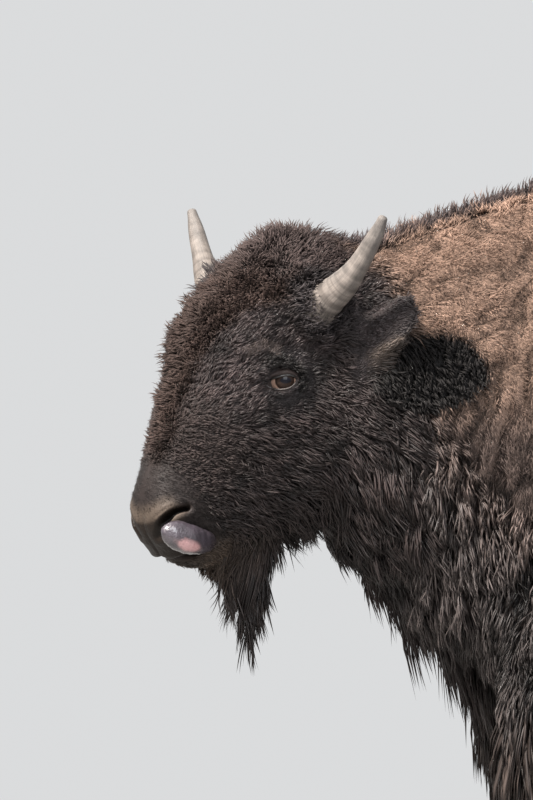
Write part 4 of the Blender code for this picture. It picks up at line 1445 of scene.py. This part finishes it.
@dataclass
class TuftMaker:
    """Turns roots into tufts of solid hair with Geometry Nodes."""

    patch: float = 0.003
    sides: int = 3
    flatness: float = 0.55
    tree: Tree = field(init=False)
    sockets: dict[str, str] = field(init=False)

    VECTORS = ("root", "aim", "bow", "hook", "across", "out", "place")
    WIDEST = 0.4
    MAP_LEAN = 0.22
    MAP_WIDTH = 0.34

    def __post_init__(self) -> None:
        """Builds the tree once."""
        self.tree, self.sockets = self.make_tree()

    def template(self, kind: Kind) -> Piece:
        """One closed, tapering tuft: how far along and how far round it each vertex lies."""
        rings, sides = kind.value + 1, self.sides
        shape = []
        for share in np.linspace(0.0, 1.0, rings + 1)[:-1]:
            past = (share - self.WIDEST) / (1.0 - self.WIDEST)
            wide = (0.62 + 0.95 * share) if past < 0 else 1.0 - past**2.0 * 0.85
            for step in range(sides):
                angle = 2 * math.pi * (step + 0.25) / sides
                shape.append((share, wide * math.cos(angle), wide * self.flatness * math.sin(angle)))
        shape.append((1.0, 0.0, 0.0))
        faces = [tuple(range(sides))[::-1]]
        for first in range(0, (rings - 1) * sides, sides):
            around = [(first + step, first + (step + 1) % sides) for step in range(sides)]
            faces += [(a, b, b + sides, a + sides) for a, b in around]
        last = (rings - 1) * sides
        faces += [(last + step, last + (step + 1) % sides, len(shape) - 1) for step in range(sides)]
        mesh = bpy.data.meshes.new("tuft_" + kind.name.lower())
        mesh.from_pydata(np.zeros((len(shape), 3)), [], faces)
        store(mesh, shape=np.array(shape))
        return new_piece(mesh.name, mesh)

    def make_tree(self) -> tuple[Tree, dict[str, str]]:
        """The tree that grows a tuft from each root, and its inputs' identifiers by name."""
        tree = bpy.data.node_groups.new("tufts", "GeometryNodeTree")
        kinds = {"Roots": "Geometry", "Tuft": "Object", "Finish": "Material", "Patch": "Float"}
        sockets = {
            name: tree.interface.new_socket(name, in_out="INPUT", socket_type="NodeSocket" + kind).identifier
            for name, kind in kinds.items()
        }
        tree.interface.new_socket("Coat", in_out="OUTPUT", socket_type="NodeSocketGeometry")
        nodes, named = Nodes(tree), "GeometryNodeInputNamedAttribute"
        given, made = nodes.add("NodeGroupInput"), tree.nodes.new("NodeGroupOutput")
        vector = {
            name: nodes.add(named, {"Name": name}, data_type="FLOAT_VECTOR")["Attribute"]
            for name in (*self.VECTORS, "shape")
        }
        tuft = nodes.add("GeometryNodeObjectInfo", {"Object": given["Tuft"]})["Geometry"]
        grown = nodes.add("GeometryNodeInstanceOnPoints", {"Points": given["Roots"], "Instance": tuft})[0]
        real = nodes.add("GeometryNodeRealizeInstances", {"Geometry": grown})[0]
        along, side, thick = nodes.add("ShaderNodeSeparateXYZ", {0: vector["shape"]})
        square = nodes.math("MULTIPLY", along, along)
        cube = nodes.math("MULTIPLY", square, along)
        place = vector["root"]
        for name, amount in zip(self.VECTORS[1:], (along, square, cube, side, thick)):
            place = nodes.joined(place, nodes.scaled(vector[name], amount))
        moved = nodes.add("GeometryNodeSetPosition", {"Geometry": real, "Position": place})[0]
        around = nodes.math("ADD", side, thick)
        shifted = nodes.math("MULTIPLY_ADD", thick, self.MAP_LEAN, nodes.math("ADD", along, -0.5))
        upright = nodes.math("MULTIPLY", around, self.MAP_WIDTH)
        flat = nodes.add("ShaderNodeCombineXYZ", {0: shifted, 1: upright})[0]
        mapped = nodes.joined(vector["place"], nodes.scaled(flat, given["Patch"]))
        kept = {"Geometry": moved, "Name": BAKE_MAP, "Value": mapped}
        stored = nodes.add("GeometryNodeStoreNamedAttribute", kept, data_type="FLOAT2", domain="CORNER")[0]
        smooth = nodes.add("GeometryNodeSetShadeSmooth", {"Geometry": stored})[0]
        dressed = nodes.add("GeometryNodeSetMaterial", {"Geometry": smooth, "Material": given["Finish"]})[0]
        nodes.feed(made, {0: dressed})
        return tree, sockets

    def grow(self, name: str, roots: Roots, tuft: Piece, material: Material) -> Piece:
        """Grows the tufts of some roots, each like the given one, as one plain mesh."""
        mesh = bpy.data.meshes.new(name)
        mesh.from_pydata(roots.points, [], [])
        seed = hashed(roots.points * 1e5, 3)
        store(mesh, **roots.vectors, root=roots.points, tone=roots.tone, gloss=roots.gloss, seed=seed)
        piece = new_piece(name, mesh)
        modifier = piece.modifiers.new("tufts", "NODES")
        modifier.node_group = self.tree
        for socket, value in (("Tuft", tuft), ("Finish", material), ("Patch", self.patch)):
            modifier[self.sockets[socket]] = value
        applied(piece)
        for vector in self.VECTORS:
            found = piece.data.attributes.get(vector)
            if found:
                piece.data.attributes.remove(found)
        return piece


@dataclass
class CoatMaker:
    """Scatters roots over the skin, combs them, and grows them piece by piece."""

    skin: Skin
    frame: HeadFrame
    seed: int = 11
    most_triangles: int = 190_000
    crimp: float = 0.030
    sunk: float = 0.0008
    slope_step: float = 0.0015
    steepest: float = 0.9
    lock_sizes: tuple[float, ...] = (0.006, 0.010, 0.014, 0.018, 0.024, 0.032)

    def scatter(self) -> tuple[Array, Array, Array]:
        """Random places on the skin as thick as the coat asks, their normals and their places on its map."""
        mesh = self.skin.piece.data
        places = self.skin.places()
        points, normals = places.points, places.normals
        density = Hair.at(places, self.frame).density
        density *= (1 - clipped(self.skin.marks["hairless"])) ** 2 * ramp(0.058, 0.064, points[:, 2])
        mesh.calc_loop_triangles()
        corners, loops = (read(mesh.loop_triangles, key, np.int32, 3) for key in ("vertices", "loops"))
        mapped = read(mesh.uv_layers[BAKE_MAP].data, "uv", np.float32, 2)
        a, b, c = (points[corners[:, step]] for step in range(3))
        area = np.linalg.norm(np.cross(b - a, c - a), axis=1) / 2
        reached = np.cumsum(area * density[corners].mean(axis=1))
        rng = np.random.default_rng(self.seed)
        total = int(reached[-1])
        chosen = np.searchsorted(reached, np.arange(total) + rng.random(total)).clip(0, len(corners) - 1)
        first, second = np.sqrt(rng.random(total)), rng.random(total)
        weights = np.stack([1 - first, first * (1 - second), first * second], axis=1)[:, :, None]
        return (
            (points[corners[chosen]] * weights).sum(axis=1),
            unit((normals[corners[chosen]] * weights).sum(axis=1)),
            (mapped[loops[chosen]] * weights).sum(axis=1),
        )

    def locks(self, points: Array, size: Array) -> tuple[Array, Array]:
        """The middle and number of each root's lock, for locks of several sizes."""
        sizes = np.array(self.lock_sizes)
        nearest = np.abs(size[:, None] - sizes).argmin(axis=1)
        middle, tag = points.copy(), np.zeros(len(points))
        for step, lock in enumerate(sizes):
            chosen = nearest == step
            if chosen.any():
                middle[chosen], tag[chosen] = locks_of(points[chosen], lock, 31 + step)
        return middle, tag

    def ridges_at(self, points: Array, normals: Array) -> Array:
        """The height of the wool's ridges at some places."""
        return wool_ridges(Places.seen_from(points, normals, self.frame))

    def comb(self) -> tuple[Roots, Hair, Places]:
        """Gives every root its tuft's bends and tone."""
        points, normals, mapped = self.scatter()
        places = Places.seen_from(points, normals, self.frame)
        coat, head, count = Hair.at(places, self.frame), places.on_head(), len(points)
        rng = np.random.default_rng(self.seed + 1)
        middle, tag = self.locks(points, coat.lock)

        # the way each tuft lies
        swing = noise_vectors(points, 0.045, 61) * 0.22 + rng.normal(0, 1.0, (count, 3)) * coat.fuzz[:, None]
        cell = np.floor(tag * 9e5)[:, None].repeat(3, 1)
        lock_turn = np.stack([hashed(cell, step) for step in (5, 6, 7)], 1) - 0.5
        loose = (0.35 + 0.9 * coat.curl) * ramp(0.12, 0.04, coat.length)
        straight = unit(coat.lie)
        hang = (ramp(0.45, 0.90, (straight * normals).sum(axis=1)) * ramp(0.015, 0.035, coat.length))[:, None]
        lie = unit(flattened(straight + swing + lock_turn * (0.10 + loose)[:, None], normals))
        side = np.cross(normals, lie)
        flow = 1.0 - 0.72 * coat.lift

        # the wool's ridges lift the roots and turn the normals
        middles = points + lie * (0.45 * coat.length * flow * ramp(0.08, 0.03, coat.length))[:, None]
        ridge = self.ridges_at(middles, normals)
        slope = (self.ridges_at(middles + side * self.slope_step, normals) - ridge) / self.slope_step
        slope = np.clip(slope * coat.ridge, -self.steepest, self.steepest)
        normals = unit(normals - side * slope[:, None])
        lie = unit(flattened(lie, normals))
        side = np.cross(normals, lie)
        points = points + normals * (coat.ridge * ridge)[:, None]
        grooved = clipped(coat.ridge / 0.006) * (1 - ridge)

        # length, rise and the pull towards the lock's middle
        length = coat.length * (0.72 + 0.5 * rng.random(count)) * (0.85 + 0.3 * tag) * (1 - 0.45 * grooved)
        least = 0.06 + 0.10 * ramp(0.05, 0.02, coat.length)
        rise = np.clip(coat.depth / np.maximum(coat.length, 1e-4), least, 0.92)
        rise = rise * (0.55 + 0.6 * rng.random(count)) * (0.8 + 0.4 * tag)
        gather = flattened(middle - points, normals)
        reach = np.linalg.norm(gather, axis=1)
        gather *= np.minimum(1.0, coat.lock / np.maximum(reach, 1e-6))[:, None]

        # waves and curls
        rows = np.sin((points[:, 2] / self.crimp + 0.55 * soft_noise(points, 0.07, 91)) * 2 * math.pi)
        own = np.sin(tag * 40.0 + soft_noise(points, 0.05, 93) * 3.0)
        wave = own + (rows - own) * (clipped(1.0 - head) * 0.75)
        curl = coat.curl * (0.7 + 0.6 * rng.random(count))
        twist = flattened(noise_vectors(points, 0.016, 71), normals)
        standing = (coat.lift * curl)[:, None]
        aim = lie * flow[:, None] + normals * (2.0 * rise)[:, None]
        aim = aim + side * (0.45 * curl * wave * (1 - coat.lift))[:, None]
        bow = -normals * rise[:, None] + twist * standing * 1.3
        bow = bow - side * (1.35 * curl * wave * (1 - coat.lift))[:, None]
        aim += (straight + 0.5 * swing - aim) * hang
        bow = bow * (1 - hang) - UP * (ramp(0.035, 0.09, coat.length) * 0.55)[:, None]
        hook = side * (0.95 * curl * wave * (1 - coat.lift))[:, None] - twist * standing * 0.5

        # the tuft's own width and thickness
        width = (coat.width * (0.6 + 0.8 * rng.random(count)) / 2)[:, None]
        heading = unit(aim + bow + hook)
        turned = unit(flattened(unit(side + normals * rng.normal(0, 0.5, (count, 1))), heading))
        out = np.cross(heading, turned)

        # its tone: random spread and mottling, then painted shade on the tufts in the wool's grooves
        gloss = ramp(0.36, 0.14, coat.fuzz)
        uneven = 0.10 + 0.26 * ramp(0.001, 0.005, coat.width) + 0.34 * gloss
        shade = (1 + uneven * (rng.random(count) - 0.5)) * (1 + uneven * (tag - 0.5))
        sleek = head * gloss
        patchy = (0.16 + 0.45 * sleek) * soft_noise(points, 0.014, 83)
        shade *= (1 + 0.14 * soft_noise(points, 0.09, 81)) * (1 + patchy)
        shade *= 1 + 0.35 * sleek * soft_noise(points, 0.035, 85)
        # painted shade: tufts that sit in a groove are darkened
        shade *= 1 - 0.88 * grooved**1.2
        vectors = {
            "aim": aim * length[:, None],
            "bow": bow * length[:, None] + gather * coat.pull[:, None],
            "hook": hook * length[:, None],
            "across": turned * width,
            "out": out * width,
            "place": np.concatenate([mapped, np.zeros((count, 1))], axis=1),
        }
        return Roots(points - normals * self.sunk, vectors, coat.tone * shade[:, None], gloss), coat, places

    def build(self, palette: Palette) -> None:
        """Grows the whole coat in pieces of about `most_triangles` triangles at most."""
        maker = TuftMaker()
        roots, coat, places = self.comb()
        bends = np.array([kind.value for kind in Kind])
        nearest = np.abs(coat.bends[:, None] - bends).argmin(axis=1)
        on_head, on_leg = places.on_head() > 0.5, places.on_leg() > 0.5
        regions = {Region.HEAD: on_head, Region.LEG: on_leg & ~on_head, Region.BODY: ~on_leg & ~on_head}
        total = 0
        for order, kind in enumerate(Kind):
            tuft = maker.template(kind)
            for region, in_region in regions.items():
                chosen = np.flatnonzero((nearest == order) & in_region)
                if not len(chosen):
                    continue
                chosen = chosen[np.argsort(roots.points[chosen, 1], kind="stable")]
                pieces = math.ceil(len(chosen) * kind.triangles / self.most_triangles)
                for number, part in enumerate(np.array_split(chosen, pieces)):
                    name = f"coat_{region.name.lower()}_{kind.name.lower()}_{number + 1}"
                    piece = maker.grow(name, roots.part(part), tuft, palette.hair)
                    finish_piece(piece, palette.hair, region.value)
                    total += len(part) * kind.triangles
            bpy.data.objects.remove(tuft)
        LOG.info("coat: %d tufts, %d triangles", len(roots.points), total)


# ---------------------------------------------------------------- eyes
@dataclass
class Eye:
    """One eyeball with its cornea, and the rims of its lids."""

    frame: HeadFrame
    shape: EyeShape
    side: str
    rings: int = 46
    spokes: int = 56
    iris: float = math.radians(37.0)
    bulge: float = 0.0014

    PUPIL = (math.radians(21.0), math.radians(11.0))
    DEEP = np.array([0.004, 0.004, 0.006])
    BROWN = np.array([0.016, 0.0090, 0.0065])
    RIM = np.array([0.012, 0.008, 0.007])
    WHITE = np.array([0.30, 0.195, 0.150])
    LID_ROWS = 41
    LID_POINTS = 12
    LID_OUT = 0.0003
    PAST_CORNER = 0.0008

    @property
    def sign(self) -> float:
        """+1 on the left, -1 on the right."""
        return SIDES[self.side]

    @property
    def centre(self) -> Array:
        """The eyeball's middle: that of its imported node."""
        return box_middle(f"eye_{self.side}")

    def outward(self, vector: Triple) -> Array:
        """A direction of the left eye, for this side, in the row frame."""
        return unit(self.frame.turned(np.array(vector) * (1.0, self.sign, 1.0)))

    def ball(self, palette: Palette) -> None:
        """The eyeball, coloured from pupil to white by the angle from its gaze."""
        gaze = self.outward(self.shape.gaze)
        level = unit(np.cross(UP, gaze))
        upright = np.cross(gaze, level)
        points, tones, faces = [], [], []
        for ring in range(self.rings + 1):
            angle = math.pi * (ring / self.rings) ** 1.25
            lens = self.bulge * max(0.0, 1.0 - (angle / self.iris) ** 2) ** 1.2
            for turn in turns(self.spokes)[: self.spokes if 0 < ring < self.rings else 1]:
                beside = level * math.cos(turn) + upright * math.sin(turn)
                ray = gaze * math.cos(angle) + beside * math.sin(angle)
                points.append(self.centre + ray * (self.shape.radius + lens))
                tones.append(self.tone(angle, turn))
        for ring in range(self.rings):
            for step in range(self.spokes):
                corners = ((ring, step), (ring, step + 1), (ring + 1, step + 1), (ring + 1, step))
                faces.append(tuple(dict.fromkeys(self.index(*corner) for corner in corners)))
        mesh = mesh_of(f"eyeball_{self.side}", points, faces)
        store(mesh, tone=np.array(tones))
        finish_piece(new_piece(mesh.name, mesh), palette.eye, "eye_wet", f"eye_{self.side}")

    def index(self, ring: int, step: int) -> int:
        """The number of a vertex on the ball."""
        if ring == 0:
            return 0
        return 1 + (ring - 1) * self.spokes + (step % self.spokes if ring < self.rings else 0)

    def tone(self, angle: float, turn: float) -> Array:
        """The eye's colour at an angle from the gaze and a turn about it."""
        wide, high = self.PUPIL
        pupil = math.hypot(angle * math.cos(turn) / wide, angle * math.sin(turn) / high)
        brown = self.BROWN * (1.0 + 0.35 * math.sin(turn * 23) * math.sin(turn * 9))
        white = self.WHITE * (1.0 - 0.25 * math.sin(turn * 5 + angle * 9) ** 2)
        tone = brown + (self.DEEP - brown) * ramp(1.08, 0.92, pupil)
        tone = tone + (self.RIM - tone) * ramp(0.80, 0.98, angle / self.iris)
        return tone + (white - tone) * ramp(1.00, 1.12, angle / self.iris)

    def lids(self, palette: Palette) -> None:
        """Two rolled rims that lie on the ball and meet at the corners."""
        shape, axes = self.shape, self.shape.axes()
        for name, height, radius, tone in (
            ("upper", shape.upper, 0.0015, (0.008, 0.0065, 0.0062)),
            ("lower", -shape.lower, 0.0011, (0.038, 0.030, 0.027)),
        ):
            rear = np.linspace(-shape.front - self.PAST_CORNER, shape.rear + self.PAST_CORNER, self.LID_ROWS)
            up = shape.half_height(np.clip(rear, -shape.front, shape.rear)) * height
            out = shape.edge_height(np.hypot(rear, up)) + self.LID_OUT
            local = np.stack([rear, up, out], axis=1) @ axes
            local[:, 1] *= self.sign
            size = radius * (0.35 + 0.65 * ramp(0.0, 0.25, 1.0 - np.abs(np.linspace(-1, 1, self.LID_ROWS))))
            rows = np.column_stack([self.centre + self.frame.turned(local), size, size])
            mesh = mesh_of(f"lid_{name}_{self.side}", *tube(rows, self.outward(shape.out), self.LID_POINTS))
            worn = 0.55 + 0.65 * hill(np.repeat(np.linspace(0, 1, self.LID_ROWS), self.LID_POINTS), 0.35, 0.3)
            store(mesh, tone=np.array(tone) * worn[:, None])
            finish_piece(new_piece(mesh.name, mesh), palette.lid, "head_coat")

    def build(self, palette: Palette) -> None:
        """Makes the eyeball and its lids."""
        self.ball(palette)
        self.lids(palette)


# ---------------------------------------------------------------- horns, tongue and hooves
def rounded_end(along: Array, start: float, reach: float, least: float) -> Array:
    """How a limb closes in at its end, from where it starts to round off."""
    return np.sqrt(np.clip(1 - clipped((along - start) / reach) ** 2, least, 1))


@dataclass
class Horn:
    """One short horn, ringed at its base and grained along its length."""

    frame: HeadFrame
    side: str
    rings: int = 110
    points: int = 48

    ROWS = (
        (-0.058, 0.050, 0.024, 0.0245, 0.0245),
        (-0.072, 0.072, 0.034, 0.0250, 0.0250),
        (-0.084, 0.096, 0.046, 0.0255, 0.0255),
        (-0.097, 0.120, 0.057, 0.0225, 0.0225),
        (-0.116, 0.145, 0.068, 0.0175, 0.0175),
        (-0.141, 0.168, 0.085, 0.0130, 0.0130),
        (-0.169, 0.190, 0.107, 0.0088, 0.0088),
        (-0.183, 0.200, 0.120, 0.0056, 0.0056),
    )

    def build(self, palette: Palette) -> None:
        """Makes the horn."""
        rows = curve_through(self.ROWS, self.rings)
        rows[:, 1] *= SIDES[self.side]
        along = np.linspace(0, 1, self.rings)
        ripple = 0.00022 * np.sin(along * 95) * ramp(0.72, 0.35, along) + 0.0005 * np.sin(along * 24 + 1.0)
        rows[:, 3:] += (ripple * ramp(0.05, 0.2, along) * ramp(1.0, 0.85, along))[:, None]
        rows[:, 3:] *= rounded_end(along, 0.975, 0.025, 0.02)[:, None]
        rows[:, :3] = self.frame.place(rows[:, :3])
        points, faces = tube(rows, self.frame.left, self.points)
        along, turn = np.repeat(along, self.points), np.tile(turns(self.points), self.rings)
        strand = np.stack([np.cos(turn), np.sin(turn), along * 0.35], axis=1)
        groove = 0.00022 * soft_noise(strand * np.array([1, 1, 0.4]), 0.11, 17) * ramp(1.0, 0.8, along)
        points = points + unit(points - np.repeat(rows[:, :3], self.points, axis=0)) * groove[:, None]
        mesh = mesh_of(f"horn_sheath_{self.side}", points, faces)
        store(mesh, along=along, strand=strand)
        finish_piece(new_piece(mesh.name, mesh), palette.horn, "horn_keratin", f"horn_{self.side}")


@dataclass
class Tongue:
    """The tongue, curled up over the upper lip towards the left nostril."""

    frame: HeadFrame
    rings: int = 70
    points: int = 36

    ROWS = (
        (0.150, 0.008, -0.116, 0.015, 0.008),
        (0.188, 0.024, -0.102, 0.010, 0.008),
        (0.214, 0.042, -0.083, 0.0150, 0.0110),
        (0.236, 0.054, -0.057, 0.0190, 0.0130),
        (0.250, 0.055, -0.034, 0.0180, 0.0115),
        (0.257, 0.050, -0.018, 0.0080, 0.0060),
    )
    WIDE = np.array([0.9, 0.0, -0.45])
    PATCH = np.array([0.251, 0.070, -0.053])
    PATCH_LONG = np.array([-0.370, 0.601, -0.708])
    PATCH_SHORT = np.array([-0.823, 0.141, 0.550])
    PATCH_SIZE = (0.017, 0.0076)
    GREY = np.array([0.042, 0.034, 0.042])
    PINK = np.array([0.34, 0.190, 0.190])
    ROOT = np.array([0.018, 0.013, 0.014])

    def build(self, palette: Palette) -> None:
        """Makes the tongue: a dark wet back, paler and pinker below."""
        rows = curve_through(self.ROWS, self.rings)
        along = np.linspace(0, 1, self.rings)
        rows[:, 3:] *= rounded_end(along, 0.9, 0.1, 0.03)[:, None]
        rows[:, :3] = self.frame.place(rows[:, :3])
        points, faces = tube(rows, self.frame.turned(unit(self.WIDE)), self.points)
        bumps = 0.00045 * soft_noise(points, 0.0022, 23) + 0.0006 * soft_noise(points, 0.008, 29)
        points = points + unit(points - np.repeat(rows[:, :3], self.points, axis=0)) * bumps[:, None]
        mesh = mesh_of("tongue_blade", points, faces)
        local = self.frame.local(points)
        long_size, short_size = self.PATCH_SIZE
        middle = local - self.PATCH
        long, short = middle @ self.PATCH_LONG / long_size, middle @ self.PATCH_SHORT / short_size
        inner = np.exp(-(long**2) - short**2) * ramp(0.050, 0.060, local[:, 1])
        patch = ramp(0.26, 0.66, inner + 0.12 * soft_noise(points, 0.006, 37))
        tone = self.GREY * (0.8 + 0.3 * soft_noise(points, 0.006, 5))[:, None]
        tone = tone + (self.PINK - tone) * patch[:, None]
        tone = tone + (self.ROOT - tone) * ramp(0.50, 0.28, np.repeat(along, self.points))[:, None]
        store(mesh, tone=tone)
        finish_piece(new_piece(mesh.name, mesh), palette.tongue, "tongue_wet", "tongue")


@dataclass
class Hoof:
    """One cloven hoof and the two dewclaws over its heel."""

    nodes: dict[str, Piece]
    name: str
    voxel: float = 0.0026
    claw_height: float = 0.094
    claw_size: float = 0.0115
    claw_rings: int = 14
    claw_points: int = 18

    def build(self, palette: Palette) -> None:
        """Makes the hoof and its dewclaws."""
        self.walls(palette)
        self.dewclaws(palette)

    def walls(self, palette: Palette) -> None:
        """The two claws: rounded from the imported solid, ringed, with flat soles on the floor."""
        piece = welded(self.nodes[self.name].data, self.name + "_walls", 0.0)
        mesh = fused(piece, self.voxel)
        points = evened(places_of(mesh), edges_of(mesh), 0.5, 6)
        share = clipped((points[:, 2] - points[:, 2].min()) / np.ptp(points[:, 2]))
        points[:, 2] = share * (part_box(self.name)[1][2] + 0.004)
        move_to(mesh, points)
        ring = 0.0006 * np.sin(points[:, 2] * 700 + 2 * soft_noise(points, 0.03, 3))
        ring *= ramp(0.004, 0.010, points[:, 2])
        points = points + normals_of(mesh) * np.array([1.0, 1.0, 0.0]) * ring[:, None]
        points[:, 2] = np.where(points[:, 2] < 0.0016, 0.0, points[:, 2])
        move_to(mesh, points)
        mesh.shade_smooth()
        across, back, _ = (points - box_middle(self.name)).T
        turn = np.arctan2(back, across)
        store(mesh, along=1.0 - share, strand=np.stack([np.cos(turn), np.sin(turn), share * 0.3], axis=1))
        finish_piece(piece, palette.hoof, "hoof_keratin", self.name)

    def dewclaws(self, palette: Palette) -> None:
        """Two small blunt claws behind the pastern."""
        middle, heel = box_middle(self.name)[0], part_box(self.name)[1][1]
        share = np.linspace(0, 1, self.claw_rings)
        size = self.claw_size * np.sqrt(np.clip(1 - (share * 1.6 - 0.6) ** 2, 0.03, 1))
        along = np.repeat(share, self.claw_points)
        turn = np.tile(turns(self.claw_points), self.claw_rings)
        strand = np.stack([np.cos(turn), np.sin(turn), along], axis=1)
        for side, sign in SIDES.items():
            start = np.array([middle + sign * 0.020, heel + 0.006, self.claw_height])
            end = start + np.array([sign * 0.006, 0.012, -0.022])
            rows = np.column_stack([start + (end - start) * share[:, None], size, size * 0.8])
            mesh = mesh_of(f"dewclaw_{self.name[5:]}_{side}", *tube(rows, LEFTWARD, self.claw_points))
            store(mesh, along=along, strand=strand)
            finish_piece(new_piece(mesh.name, mesh), palette.hoof, "hoof_keratin")


# ---------------------------------------------------------------- the studio
@dataclass(frozen=True)
class Lamp:
    """A square soft light, placed from the point that it faces."""

    name: str
    towards: float
    right: float
    up: float
    size: float
    power: float
    colour: Triple

    def build(self, aim: Array, back: Array, right: Array) -> None:
        """Sets the lamp: so far towards the camera, to its right and up."""
        data = bpy.data.lights.new(self.name, "AREA")
        data.size, data.energy, data.color = self.size, self.power, self.colour
        place = aim + back * self.towards + right * self.right + UP * self.up
        facing = Vector(place - aim).to_track_quat("Z", "Y").to_matrix().to_4x4()
        new_piece(self.name, data).matrix_world = Matrix.Translation(Vector(place)) @ facing


@dataclass
class Studio:
    """Floor, lights and the camera."""

    frame: HeadFrame
    azimuth: float = math.radians(77.0)
    lens: float = 400.0
    sensor: float = 36.0
    view_height: float = 1.024
    beside_head: float = 0.0206
    under_head: float = 0.0282
    floor_radius: float = 7.0
    floor_points: int = 96
    far_clip: float = 60.0
    sky: tuple[float, float, float, float] = (0.86, 0.87, 0.88, 1.0)
    sky_strength: float = 0.82

    LAMPS = (
        Lamp("key", 2.4, -2.0, 3.4, 0.8, 1150.0, (1.0, 0.95, 0.89)),
        Lamp("fill", 3.2, 1.4, 1.5, 2.4, 145.0, (0.93, 0.96, 1.0)),
        Lamp("rim", -2.4, -1.2, 2.6, 1.6, 75.0, (1.0, 0.98, 0.95)),
    )

    def build(self) -> None:
        """Sets the floor, the lights, the world and the camera."""
        self.floor()
        self.world()
        right = np.array([math.cos(self.azimuth), math.sin(self.azimuth), 0.0])
        back = np.array([math.sin(self.azimuth), -math.cos(self.azimuth), 0.0])
        aim = self.frame.origin + right * self.beside_head - UP * self.under_head
        self.camera(aim, right, back)
        for lamp in self.LAMPS:
            lamp.build(aim, back, right)

    def floor(self) -> None:
        """A wide flat disc on the floor's level."""
        turn = turns(self.floor_points)
        edge = np.stack([np.cos(turn), np.sin(turn), turn * 0], axis=1) * self.floor_radius
        mesh = mesh_of("studio_floor", edge, [tuple(range(self.floor_points))])
        if mesh.polygons[0].normal.z < 0:
            mesh.flip_normals()
        mesh.materials.append(FloorFinish().material())
        new_piece(mesh.name, mesh)

    def world(self) -> None:
        """Pale, even light from everywhere."""
        world = bpy.data.worlds.new("studio")
        world.use_nodes = True
        sky = world.node_tree.nodes["Background"]
        Nodes(world.node_tree).feed(sky, {"Color": self.sky, "Strength": self.sky_strength})
        bpy.context.scene.world = world
        bpy.context.scene.view_settings.view_transform = "Standard"

    def camera(self, aim: Array, right: Array, back: Array) -> None:
        """A long lens, level, square to its azimuth."""
        data = bpy.data.cameras.new("camera")
        data.lens, data.sensor_width, data.clip_end = self.lens, self.sensor, self.far_clip
        camera = new_piece("camera", data)
        away = self.view_height * self.lens / self.sensor
        turned = Matrix((Vector(right), Vector(UP), Vector(back))).transposed().to_4x4()
        camera.matrix_world = Matrix.Translation(Vector(aim + back * away)) @ turned
        bpy.context.scene.camera = camera


def main() -> None:
    """Builds the animal piece by piece, logging the triangles of each piece."""
    logging.basicConfig(level=logging.INFO, format="%(name)s: %(message)s")
    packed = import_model()
    frame, palette, eye = HeadFrame.from_eyes(), Palette(), EyeShape()
    skin = Skin(frame, eye, packed["nodes"]).build()
    skin.dress(palette)
    for side in SIDES:
        Eye(frame, eye, side).build(palette)
        Horn(frame, side).build(palette)
    Tongue(frame).build(palette)
    for name in HOOVES:
        Hoof(packed["nodes"], name).build(palette)
    CoatMaker(skin, frame).build(palette)
    Studio(frame).build()


if __name__ == "__main__":
    main()
